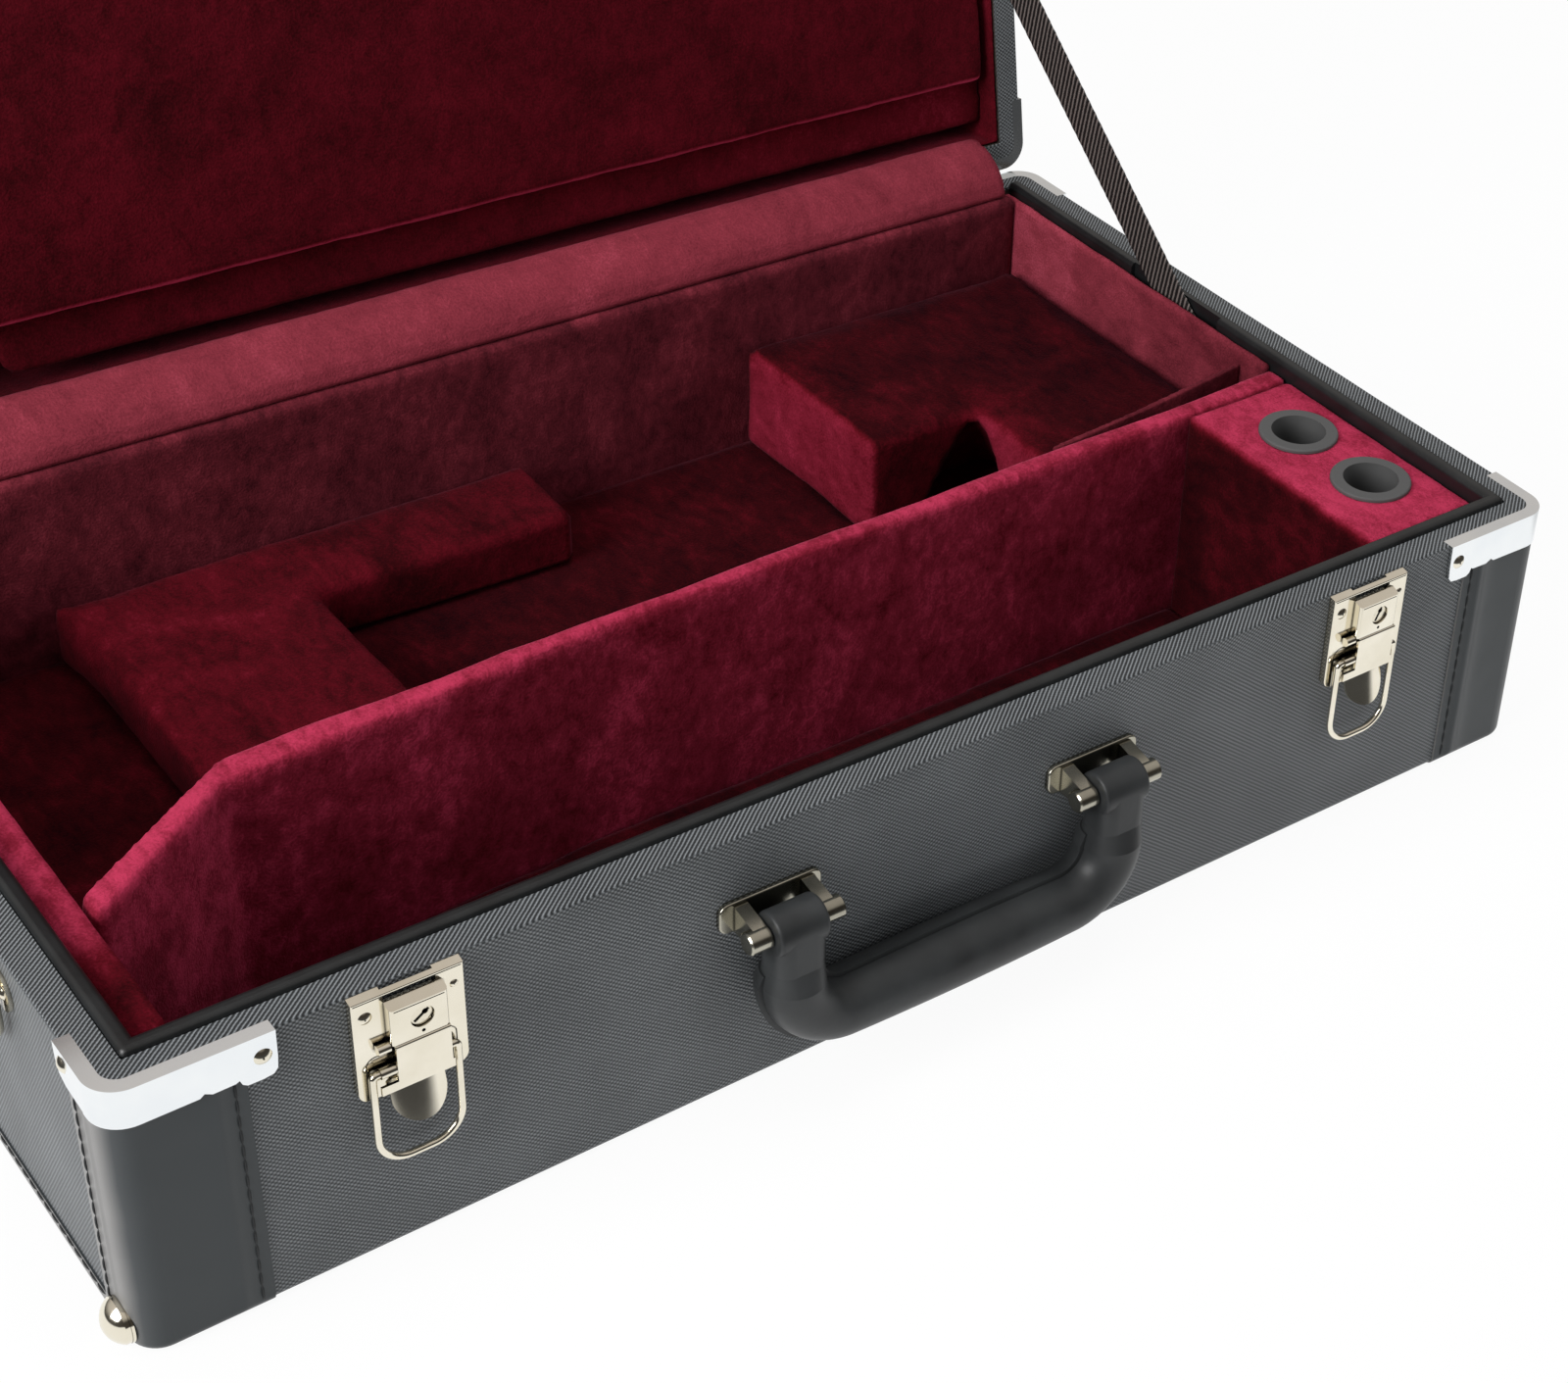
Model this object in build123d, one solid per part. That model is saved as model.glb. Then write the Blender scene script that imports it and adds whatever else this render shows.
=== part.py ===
from build123d import *
import os

# Trumpet case with a hinged lid, in millimetres. Everything is drawn from the front left bottom
# corner of the base, x to the right, y to the rear, z up, and moved to the middle when written.
# The lid is drawn shut and then swung open about the hinge line.
os.makedirs("parts", exist_ok=True)

# case shell
LENGTH = 600.0
WIDTH = 350.0
BASE_H = 113.4
LID_H = 50.0
RIM_GAP = 0.4  # between the two rims when shut
CORNER_R = 10.0
EDGE_R = 4.0
SKIN = 1.2  # covering cloth
BASE_WALL = 11.5
LID_WALL = 11.2
PANEL = 6.0
PATCH_T = 0.9
BINDING_T = 0.7
PATCH_FRONT = 43.5  # patch reach along the front or rear
PATCH_END = 24.5  # patch reach along an end
BINDING_H = 9.0
FOLD_IN = 2.6  # how far the patches and bindings turn in under the edge

# hinge line and open lid
LEAF_T = 1.2
LEAF_W = 50.0
LEAF_H = 28.0  # from the hinge line to the far edge of a leaf
KNUCKLES = 5
KNUCKLE_R = 2.4
HINGE_PIN_R = 1.2
HINGE_Y = WIDTH + 2.6
HINGE_Z = BASE_H + 0.2
OPEN_ANGLE = 98.9
LID_RIM_Z = BASE_H + RIM_GAP
LID_TOP_Z = LID_RIM_Z + LID_H
HINGE_X = (110.0, 490.0)

# raised lip inside the base
LIP_OUT = 11.8
LIP_IN = 18.0
LIP_RISE = 2.1
FIT = 0.3  # gap between pieces laid side by side

# lining boards and floors
FLOOR_Z = PANEL + SKIN
PLUSH_Z = 30.0
LEFT_BLOCK_TOP = 57.0
RIGHT_BLOCK_TOP = 80.0
RECESS_X = 482.0  # corner of the right block over the recess
RECESS_Y = 226.0
TRAY_FLOOR_Z = 14.0
LINING_TOP = 109.4
LEFT_LINING_X = 31.0
RIGHT_LINING_X = 578.0
REAR_LINING_Y = 327.0
FRONT_LINING_Y = 22.0

# divider, as plan points from the left lining to the right lip
DIVIDER_REAR = [(97.7, 136.2), (250.0, 141.0), (581.7, 148.5)]
DIVIDER_FRONT = [(94.0, 122.0), (246.0, 133.5), (581.7, 137.5)]
DIVIDER_LEFT = [(31.3, 78.3), (31.3, 92.6)]

# mouthpiece block and sleeves
MOUTH_X = 525.0
MOUTH_HOLES = [(556.0, 101.4), (556.5, 57.2)]
SLEEVE_BORE_R = 11.5
SLEEVE_R = 13.3
FLANGE_R = 16.75
FLANGE_T = 1.6
SLEEVE_BOTTOM = 31.0

# corner guards
GUARD_T = 1.6
GUARD_TOP_T = 0.8
GUARD_TOP_W = 3.8
GUARD_H = 17.3
GUARD_FRONT_X = 53.8
GUARD_END_Y = 30.4
RIVET_R = 3.0
RIVET_H = 1.3
RIVET_FRONT_X = 49.0
RIVET_FRONT_DOWN = 8.4  # below the rim
RIVET_END_Y = 25.0
RIVET_END_DOWN = 5.6

# feet
FOOT_Y = 12.5
FOOT_Z = 8.8
FOOT_R = 8.2
FOOT_DOME = 5.0
FOOT_SKIRT = 2.6
FOOT_FLANGE_R = 8.5
FOOT_FLANGE_T = 0.9

# latches, from the left edge of each back plate
LATCH_X = (76.9, 482.5)
LATCH_W = 38.0
LATCH_Z0 = 70.3
LATCH_Z1 = 111.8  # upper edge of the face
LATCH_BACK_Z = 112.5  # the top slopes up to the wall
PAN_T = 3.2
SHEET = 1.0
SLOT_X = (10.6, 28.5)
SLOT_Z = (108.6, 111.1)
FOLD_Z = 110.7  # groove under the folded top
PAD_X = (2.9, 34.3)  # panel pressed in the lower half of the face
PAD_TOP = 88.0
LOCK_X = (10.6, 30.6)
LOCK_Y = -7.2
LOCK_Z = 92.6
ROOF_Z = 106.9
ROOF_BACK_Z = 108.4
KEY_X = 21.4
KEY_Z = 100.2
KEY_R = 4.0
KEY_SET_IN = 0.9
KEY_TURN = (35, 65)  # keyway above the horizontal, left latch and right latch
DETENT_Z = 94.5
LEVER_X0 = 11.7
LEVER_X1 = 30.4
LEVER_PIVOT_Y = -7.0
LEVER_PIVOT_Z = 91.7
PLATE_LOW = 74.4  # lower edge of the lever's flat plate
STRIP_X = (5.9, 31.1)  # wide lower strip of the lever, between the legs of the bail
STRIP_H = 3.4
TAB_X = 18.8
TAB_Y = -5.9
TAB_L = 14.4
TAB_R = 9.4
TAB_FLARE = 16.0
DISH_R = 18.0
BAIL_Y = -5.4
BAIL_Z = 82.2
BAIL_WIRE_R = 1.3
BAIL_X0 = 3.9  # wire centres of the two legs
BAIL_X1 = 33.1
BAIL_DROP = 38.6
BAIL_TURN = 11.0
STRIKE_UP = 1.2  # above the lid's rim
STRIKE_H = 20.0
STRIKE_T = 1.1
TONGUE_Z = 106.5
HOOK_Z = 117.0

# handle
GRIP_Y = -14.0
PIVOT_Z = 79.0
GRIP_X = (230.5, 369.5)
GRIP_BAR_Z = 33.0
GRIP_R = 11.6
GRIP_BEND = 22.0
PIN_R = 2.0
PLATE_W = 41.0
PLATE_H = 12.6
PLATE_UP = 2.0  # above the pivot
PLATE_SHIFT = -1.2  # the plate reaches further to the left
LUG_IN = 10.7  # from the middle of the bracket to the inner face of a lug
LUG_T = 5.3
LUG_R = 4.3
CAP_L = 8.2
ARM_END_Z = 63.0  # where the flat arms begin to turn round
REAR_PROUD = 2.0

# shoulder strap rings on the ends
RING_Y = 88.0
RING_Z = 99.0
RING_PIVOT_X = -3.6
RING_WIRE_R = 1.6
RING_PLATE_T = 1.4

# flap and ledge in the lid
FLAP_FACE = 4.5  # behind the rim plane
FLAP_T = 8.0
FLAP_Y0 = 14.6
FLAP_Y1 = 308.0
FLAP_X0 = 16.0
FLAP_X1 = 583.6

# stay strap, from inside the base to inside the lid
STRAP_FROM = (582.85, 205.1, 99.9)
STRAP_TO = (585.45, 377.3, 237.1)
STRAP_W = 20.0
STRAP_T = 1.1


def block(x0, x1, y0, y1, z0, z1):
    """A box by its bounds."""
    return Pos((x0 + x1) / 2, (y0 + y1) / 2, (z0 + z1) / 2) * Box(x1 - x0, y1 - y0, z1 - z0)


def plan(points, z0, z1):
    """An upright prism on a plan outline."""
    face = make_face(Polyline(*points, close=True))
    return extrude(Pos(0, 0, z0) * face, amount=z1 - z0)


def profile(points, x0, x1):
    """A prism along x on an outline given as (y, z)."""
    face = make_face(Polyline(*[(x0, y, z) for y, z in points], close=True))
    return extrude(face, amount=x1 - x0, dir=(1, 0, 0))


def elevation(points, y0, y1):
    """A prism along y on an outline given as (x, z)."""
    face = make_face(Polyline(*[(x, y0, z) for x, z in points], close=True))
    return extrude(face, amount=y1 - y0, dir=(0, 1, 0))


def rod(x0, x1, y, z, radius):
    """A cylinder along x."""
    return Pos((x0 + x1) / 2, y, z) * Rot(0, 90, 0) * Cylinder(radius, x1 - x0)


def dome(radius, height, skirt=0.0):
    """A domed head on z = 0, with a straight skirt under the dome."""
    ball = (radius ** 2 + height ** 2) / (2 * height)
    cap = Pos(0, 0, skirt + height - ball) * Sphere(ball)
    cap = cap & (Pos(0, 0, skirt + height / 2) * Box(4 * radius, 4 * radius, height))
    if skirt:
        cap = cap + Pos(0, 0, skirt / 2) * Cylinder(radius, skirt)
    return cap


def on_face(shape, x, y, z, outward):
    """Puts a head drawn on z = 0 on a face whose outward normal is given."""
    return Plane(origin=(x, y, z), z_dir=outward) * shape


def case_plan(inset, z0, z1):
    """The rounded plan of the case, set in by inset."""
    radius = max(CORNER_R - inset, 0.5)
    outline = RectangleRounded(LENGTH - 2 * inset, WIDTH - 2 * inset, radius)
    return extrude(Pos(LENGTH / 2, WIDTH / 2, z0) * outline, amount=z1 - z0)


def tub(inset, z0, z1, foot_r):
    """The solid inside that outline, rounded along its bottom edge."""
    body = case_plan(inset, z0, z1)
    return fillet(body.edges().group_by(Axis.Z)[0], foot_r)


def turned_over(shape):
    """Lays a half shell drawn rim up onto the base as the shut lid."""
    return Pos(0, WIDTH, LID_TOP_Z) * Rot(180, 0, 0) * shape


def opened(shape):
    """Swings a piece of the shut lid open."""
    return Pos(0, HINGE_Y, HINGE_Z) * Rot(-OPEN_ANGLE, 0, 0) * Pos(0, -HINGE_Y, -HINGE_Z) * shape


def four_corners(shape):
    """A front left corner piece and its three mirror images."""
    right = Pos(LENGTH, 0, 0) * mirror(shape, Plane.YZ)
    rear = [Pos(0, WIDTH, 0) * mirror(s, Plane.XZ) for s in (shape, right)]
    return [shape, right] + rear


# ---- half shells: the same pieces make the base and the lid --------------------------------


def wall_frame(height, wall):
    blank = tub(SKIN, SKIN, height - SKIN, EDGE_R - SKIN)
    return blank - case_plan(wall, 0, height)


def panel(wall):
    return case_plan(wall + 0.1, SKIN, SKIN + PANEL)


def side_covering(height, wall, guards):
    """Cloth over the walls, turned over the rim and under the edge."""
    outside = tub(0, 0, height, EDGE_R)
    outside = fillet(outside.edges().group_by(Axis.Z)[-1], 1.0)
    inside = tub(SKIN, SKIN, height - SKIN, EDGE_R - SKIN)
    skin = outside - inside - case_plan(wall, SKIN, height + 1) - case_plan(EDGE_R, -1, SKIN + 1)
    for guard in guards:
        skin = skin - guard
    return skin


def flat_covering():
    return case_plan(EDGE_R + 0.05, 0, SKIN)


def proud_skin(thickness, height, region):
    """A thin piece laid on the covering inside region, turned in under the edge."""
    shell = tub(-thickness, 0, height - 1.5, EDGE_R) - tub(0, 0, height + 1, EDGE_R)
    return (shell - case_plan(FOLD_IN, -1, SKIN)) & region


def corner_patches(height, guards):
    reach = plan([(-5, -5), (PATCH_FRONT, -5), (PATCH_FRONT, 12), (12, PATCH_END), (-5, PATCH_END)],
                 -1, height)
    patch = proud_skin(PATCH_T, height, reach) - guards[0]
    return four_corners(patch)


def end_bindings():
    left = proud_skin(BINDING_T, BASE_H, block(-5, 12, PATCH_END + 0.2, WIDTH - PATCH_END - 0.2,
                                               -1, BINDING_H))
    return [left, Pos(LENGTH, 0, 0) * mirror(left, Plane.YZ)]


def corner_guard(height):
    """Pressed guard: a stepped front flange, a short end flange and a narrow rim flange."""
    band = case_plan(-GUARD_T, height - GUARD_H - 1, height) - case_plan(0, 0, height + 1)
    top, low = height + 1, height - GUARD_H
    front = [(-5, low + 2.1), (28.5, low + 2.5), (30, low + 3.7), (32.5, low + 2.3), (39.8, low + 2.5),
             (41, low + 3.1), (41.8, low + 1.1), (43.4, low), (48.4, low), (51.8, low + 0.5),
             (53.2, low + 2.3), (53.6, low + 6.9), (GUARD_FRONT_X, top), (-5, top)]
    end = [(-5, low + 2.3), (14, low + 2.9), (24.1, low + 3.5), (28.5, low + 5.6), (30, low + 9.9),
           (GUARD_END_Y, low + 15.3), (GUARD_END_Y, top), (-5, top)]
    side = (band & elevation(front, -5, 12)) + (band & profile(end, -5, 12))
    lip = case_plan(-GUARD_T, height - GUARD_TOP_T, height)
    lip = lip - case_plan(GUARD_TOP_W, 0, height + 1)
    wide = lip & (block(-5, GUARD_FRONT_X, -5, 12, 0, top) + block(-5, 12, -5, GUARD_END_Y, 0, top))
    return side + wide


def rim_guards(height):
    return four_corners(corner_guard(height))


def guard_rivets(height):
    head = dome(RIVET_R, RIVET_H)
    front = on_face(head, RIVET_FRONT_X, -GUARD_T, height - RIVET_FRONT_DOWN, (0, -1, 0))
    end = on_face(head, -GUARD_T, RIVET_END_Y, height - RIVET_END_DOWN, (-1, 0, 0))
    return four_corners(front) + four_corners(end)


def feet():
    """Domed nickel feet on the left end."""
    flange = Pos(0, 0, FOOT_FLANGE_T / 2) * Cylinder(FOOT_FLANGE_R, FOOT_FLANGE_T)
    head = dome(FOOT_R, FOOT_DOME, FOOT_SKIRT) + flange
    foot = on_face(head, 0, FOOT_Y, FOOT_Z, (-1, 0, 0))
    clear = tub(-PATCH_T - 0.05, 0, BASE_H, EDGE_R)
    foot = foot - clear
    return [foot, Pos(0, WIDTH, 0) * mirror(foot, Plane.XZ)]


# ---- inside the base ---------------------------------------------------------------------


def inner_lip():
    """Board standing inside the front and end walls, its rounded top above the rim."""
    top = BASE_H + LIP_RISE
    rear_y = WIDTH - BASE_WALL - FIT
    outer = block(LIP_OUT, LENGTH - LIP_OUT, LIP_OUT, rear_y, FLOOR_Z + 0.1, top)
    outer = fillet(outer.edges().filter_by(Axis.Z).group_by(Axis.Y)[0], 2.0)
    inner = block(LIP_IN, LENGTH - LIP_IN, LIP_IN, WIDTH, 0, top + 1)
    lip = outer - inner
    lip = fillet(lip.edges().group_by(Axis.Z)[-1].filter_by(lambda e: e.center().Y < rear_y - 1), 2.4)
    slot = block(LENGTH - LIP_IN - 1, LENGTH - LIP_IN + 2.2, 186, 246, 90, top + 1)
    return lip - slot


def soft(shape, radius):
    """Rounds the top edges of a plush-covered piece."""
    return fillet(shape.edges().group_by(Axis.Z)[-1], radius)


def linings():
    front = block(LIP_IN + 0.2, LENGTH - LIP_IN - 0.2, LIP_IN + 0.2, FRONT_LINING_Y,
                  FLOOR_Z + 0.1, LINING_TOP + 0.6)
    left = block(LIP_IN + 0.2, LEFT_LINING_X, FRONT_LINING_Y + 0.2, WIDTH - BASE_WALL - FIT,
                 FLOOR_Z + 0.1, LINING_TOP)
    right = block(RIGHT_LINING_X, LENGTH - LIP_IN - 0.1, 149.0, WIDTH - BASE_WALL - FIT,
                  FLOOR_Z + 0.1, 111.5)
    rear = block(LEFT_LINING_X + 0.2, RIGHT_LINING_X - 0.2, REAR_LINING_Y, WIDTH - BASE_WALL - FIT,
                 FLOOR_Z + 0.1, BASE_H + 0.2)
    return {
        "lining_front": soft(front, 1.2),
        "lining_left": soft(left, 2.0),
        "lining_right": soft(right, 1.2),
        "lining_rear": soft(rear, 2.0),
    }


def divider():
    outline = DIVIDER_LEFT + DIVIDER_REAR + DIVIDER_FRONT[::-1]
    return soft(plan(outline, FLOOR_Z + 0.1, LINING_TOP), 2.0)


def floors():
    """Plush floor behind the divider and the lower floor of the accessory tray."""
    rear = [(31.2, 92.9), (97.6, 136.5), (250, 141.3), (577.8, 148.8), (577.8, 326.8),
            (31.2, 326.8)]
    front = [(31.2, 22.2), (524.8, 22.2), (524.8, 136.2), (246, 133.2), (94.1, 121.6),
             (31.2, 78)]
    return plan(rear, FLOOR_Z + 0.1, PLUSH_Z), plan(front, FLOOR_Z + 0.1, TRAY_FLOOR_Z)


def left_support():
    outline = [(109, 142), (202, 142), (202, 279), (316, 279), (316, 326.5), (109, 326.5)]
    body = plan(outline, PLUSH_Z + 0.1, LEFT_BLOCK_TOP)
    body = fillet(body.edges().filter_by(Axis.Z), 4.0)
    return soft(body, 4.0)


def right_support():
    """Raised block with a tent-shaped recess under its inner corner."""
    outline = [(425, RECESS_Y), (RECESS_X, RECESS_Y), (RECESS_X, 152), (577.5, 153),
               (577.5, 326.5), (425, 326.5)]
    body = plan(outline, PLUSH_Z + 0.1, RIGHT_BLOCK_TOP)
    outer = body.edges().filter_by(Axis.Z).filter_by(lambda e: e.center().X < 450)
    body = soft(fillet(outer, 4.0), 3.0)
    foot = Plane.XY.offset(PLUSH_Z) * Pos(RECESS_X, RECESS_Y) * Rectangle(62, 60)
    peak = Plane.XY.offset(RIGHT_BLOCK_TOP - 3) * Pos(RECESS_X, RECESS_Y) * Rectangle(1.0, 1.0)
    return body - loft([foot, peak])


def mouthpiece_block():
    outline = [(MOUTH_X, 22.2), (581.7, 22.2), (581.7, 137.2), (MOUTH_X, 136.4)]
    body = soft(plan(outline, FLOOR_Z + 0.1, LINING_TOP), 1.2)
    middle = (SLEEVE_BOTTOM + LINING_TOP) / 2
    depth = LINING_TOP - SLEEVE_BOTTOM + 10
    for x, y in MOUTH_HOLES:
        body = body - Pos(x, y, middle) * Cylinder(SLEEVE_R + 0.1, depth)
    return body


def mouthpiece_sleeves():
    """Flanged tubes that hold the mouthpieces."""
    sleeves = []
    for x, y in MOUTH_HOLES:
        height = LINING_TOP - SLEEVE_BOTTOM
        tube = Pos(x, y, SLEEVE_BOTTOM + height / 2) * Cylinder(SLEEVE_R, height)
        flange = Pos(x, y, LINING_TOP + 0.1 + FLANGE_T / 2) * Cylinder(FLANGE_R, FLANGE_T)
        flange = fillet(flange.edges().group_by(Axis.Z)[-1], FLANGE_T / 2)
        sleeve = tube + Pos(x, y, LINING_TOP + 0.1) * Cylinder(SLEEVE_R, 0.4) + flange
        bore = Pos(x, y, (SLEEVE_BOTTOM + LINING_TOP) / 2) * Cylinder(SLEEVE_BORE_R, height + 10)
        sleeves.append(sleeve - bore)
    return sleeves


def pocket_flap():
    outline = [(466, 150.2), (520, 155.5), (577.6, 163.4), (577.6, 165.4), (520, 158.0), (466, 152.2)]
    return plan(outline, 80.3, 105)


# ---- latches -----------------------------------------------------------------------------


def pad_outline(x, inset):
    """Rounded panel on the lower half of the back plate, set in by inset."""
    x0, x1 = x + PAD_X[0] + inset, x + PAD_X[1] - inset
    slab = block(x0, x1, -PAN_T - 1, -PAN_T + 0.4, LATCH_Z0 - 1, PAD_TOP - inset)
    return fillet(slab.edges().filter_by(Axis.Y).group_by(Axis.Z)[-1], 3.5 - inset)


def latch_backplate(x):
    """Pressed pan with a slot in its face and a notch in its top for the tongue of the strike."""
    face = profile([(-PAN_T, LATCH_Z0), (-PAN_T, LATCH_Z1), (0, LATCH_BACK_Z), (0, LATCH_Z0)], x, x + LATCH_W)
    face = fillet(face.edges().filter_by(Axis.Y).group_by(Axis.Z)[0], 4.0)
    face = fillet(face.edges().group_by(Axis.Y)[0], 0.4)
    hollow = block(x + SHEET, x + LATCH_W - SHEET, -PAN_T + SHEET, 1, LATCH_Z0 + 5, LATCH_Z1 - SHEET)
    slot = block(x + SLOT_X[0], x + SLOT_X[1], -PAN_T - 1, 0, *SLOT_Z)
    mouth = block(x + SLOT_X[0], x + SLOT_X[1], -STRIKE_T - 0.2, 1, SLOT_Z[0], LATCH_BACK_Z + 1)
    fold = block(x + 0.7, x + LATCH_W - 0.7, -PAN_T - 1, -PAN_T + 0.4, FOLD_Z, SLOT_Z[1])
    groove = pad_outline(x, 0) - pad_outline(x, 0.5)
    return face - hollow - slot - mouth - fold - groove


def bore(x, y0, y1, z, radius):
    """A cylinder along y."""
    return Pos(x, (y0 + y1) / 2, z) * Rot(90, 0, 0) * Cylinder(radius, y1 - y0)


def lock_body(x):
    """Raised lock housing with a sloping roof, open below for the lever."""
    back = -PAN_T - 0.02
    side = [(back, LOCK_Z), (LOCK_Y, LOCK_Z), (LOCK_Y, ROOF_Z), (back, ROOF_BACK_Z)]
    shape = profile(side, x + LOCK_X[0], x + LOCK_X[1])
    shape = fillet(shape.edges().filter_by(Axis.Z).group_by(Axis.Y)[0], 1.4)
    fold = block(x + LOCK_X[0] + 1.4, x + LOCK_X[1] - 1.4, LOCK_Y - 1, LOCK_Y + 0.35, ROOF_Z - 0.9, ROOF_Z - 0.5)
    hole = bore(x + KEY_X, LOCK_Y - 1, 1, KEY_Z, KEY_R + 0.05)
    detent = bore(x + KEY_X, LOCK_Y - 1, LOCK_Y + 1.5, DETENT_Z, 0.65)
    return shape - fold - hole - detent


def key_barrel(x, turn):
    """Lock plug, set in a little, with its keyway."""
    face = LOCK_Y + KEY_SET_IN
    plug = bore(x + KEY_X, face, -PAN_T - 0.5, KEY_Z, KEY_R)
    plug = fillet(plug.edges().group_by(Axis.Y)[0], 0.4)
    slot = Box(6.2, 4, 1.2) + Pos(1.6, 0, 0) * Rot(90, 0, 0) * Cylinder(1.1, 4)
    return plug - (Pos(x + KEY_X, face, KEY_Z) * Rot(0, -turn, 0) * slot)


def lever_tab(x):
    """Dished half-round finger tab, flared away from the case."""
    dish = Pos(0, DISH_R, 0) * (Cylinder(DISH_R + SHEET, 60) - Cylinder(DISH_R, 60))
    outline = Cylinder(TAB_R, 30) + Pos(0, TAB_R, 0) * Box(2 * TAB_R, 2 * TAB_R, 30)
    outline = Pos(0, 0, TAB_R - TAB_L) * Rot(90, 0, 0) * outline
    tab = dish & outline & block(-TAB_R, TAB_R, -5, 2.3, -20, SHEET)
    return Pos(x + TAB_X, TAB_Y, PLATE_LOW) * Rot(-TAB_FLARE, 0, 0) * tab


def lever(x):
    """Draw lever: plate with a wide lower strip, hinge bead, bail barrel and finger tab."""
    x0, x1 = x + LEVER_X0, x + LEVER_X1
    front, rear = LEVER_PIVOT_Y - 0.4, LEVER_PIVOT_Y + 0.6
    plate = block(x0, x1, front, rear, PLATE_LOW, LEVER_PIVOT_Z)
    strip = block(x + STRIP_X[0], x + STRIP_X[1], front, rear, PLATE_LOW, PLATE_LOW + STRIP_H)
    bead = rod(x0, x1, LEVER_PIVOT_Y, LEVER_PIVOT_Z, 0.8)
    barrel = rod(x + 6.4, x1, BAIL_Y, BAIL_Z, 1.9)
    web = block(x0, x1, rear - 0.2, rear + 0.4, BAIL_Z - 1.5, BAIL_Z + 1.5)
    step = block(x + TAB_X - 8, x + TAB_X + 8, rear - 0.5, TAB_Y + 1.4, PLATE_LOW, PLATE_LOW + SHEET)
    solid = plate + strip + bead + barrel + web + step + lever_tab(x)
    return solid - rod(x, x + LATCH_W + 2, BAIL_Y, BAIL_Z, BAIL_WIRE_R + 0.06)


def bail(x):
    """Wire loop hanging from the lever."""
    x0, x1 = x + BAIL_X0, x + BAIL_X1
    low = BAIL_Z - BAIL_DROP
    turn = BAIL_TURN
    path = FilletPolyline((x0 + 5.5, BAIL_Y, BAIL_Z), (x0, BAIL_Y, BAIL_Z), (x0, BAIL_Y, low),
                          (x1, BAIL_Y, low), (x1, BAIL_Y, BAIL_Z), (x1 - 4.5, BAIL_Y, BAIL_Z),
                          radius=[1.5, turn, turn, 1.5])
    section = Plane(path @ 0, z_dir=path % 0) * Circle(BAIL_WIRE_R)
    return sweep(section, path=path)


def latch_rivets(x):
    """Rivet, pivot boss and screw heads on the back plate."""
    rivet = on_face(dome(2.4, 1.0), x + 4.3, -PAN_T, 104.8, (0, -1, 0))
    boss = rod(x + 6.3, x + LOCK_X[0] - 0.1, -PAN_T - 1.9, LEVER_PIVOT_Z, 1.8)
    screw = on_face(dome(1.5, 0.7), x + 34.4, -PAN_T, 104.4, (0, -1, 0))
    return [rivet, boss, screw]


def strike(x):
    """Plate on the lid with a hook for the bail and a tongue for the latch slot."""
    z0 = LID_RIM_Z + STRIKE_UP
    mid = x + (BAIL_X0 + BAIL_X1) / 2
    plate = block(mid - 15, mid + 15, -STRIKE_T, -0.02, z0, z0 + STRIKE_H)
    plate = fillet(plate.edges().filter_by(Axis.Y), 3.0)
    tongue = block(mid - 7, mid + 9, -STRIKE_T, -0.3, TONGUE_Z, z0 + 4)
    shelf = block(mid - 11, mid + 11, -7.6, -1.0, HOOK_Z, HOOK_Z + 1.7)
    lip = block(mid - 11, mid + 11, -8.8, -7.0, HOOK_Z, HOOK_Z + 4.9)
    hook = shelf + lip
    hook = fillet(hook.edges().filter_by(Axis.X).group_by(Axis.Z)[0].group_by(Axis.Y)[0], 1.4)
    return plate + tongue + hook


# ---- handle ------------------------------------------------------------------------------


def handle_bracket(x):
    """Rounded plate with two lugs that carry the pin."""
    slab = extrude(RectangleRounded(PLATE_W, PLATE_H, 4), amount=1, both=True)
    plate = Pos(x + PLATE_SHIFT, -1, PIVOT_Z + PLATE_UP) * Rot(90, 0, 0) * slab
    plate = fillet(plate.edges().group_by(Axis.Y)[0], 0.7)
    bracket = plate
    for side in (-1, 1):
        near = x + side * LUG_IN
        x0, x1 = sorted((near, near + side * LUG_T))
        arm = profile([(-1, PIVOT_Z - 4.4), (GRIP_Y, PIVOT_Z - LUG_R + 0.1),
                       (GRIP_Y, PIVOT_Z + LUG_R - 0.1), (-1, PIVOT_Z + 6.8)], x0, x1)
        c0, c1 = sorted((near, near + side * CAP_L))
        cap = rod(c0, c1, GRIP_Y, PIVOT_Z, LUG_R)
        cap = chamfer(cap.edges().sort_by(Axis.X)[-1 if side > 0 else 0], 0.6)
        bracket = bracket + arm + cap
    return bracket - rod(x - 17, x + 17, GRIP_Y, PIVOT_Z, PIN_R + 0.03)


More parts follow.
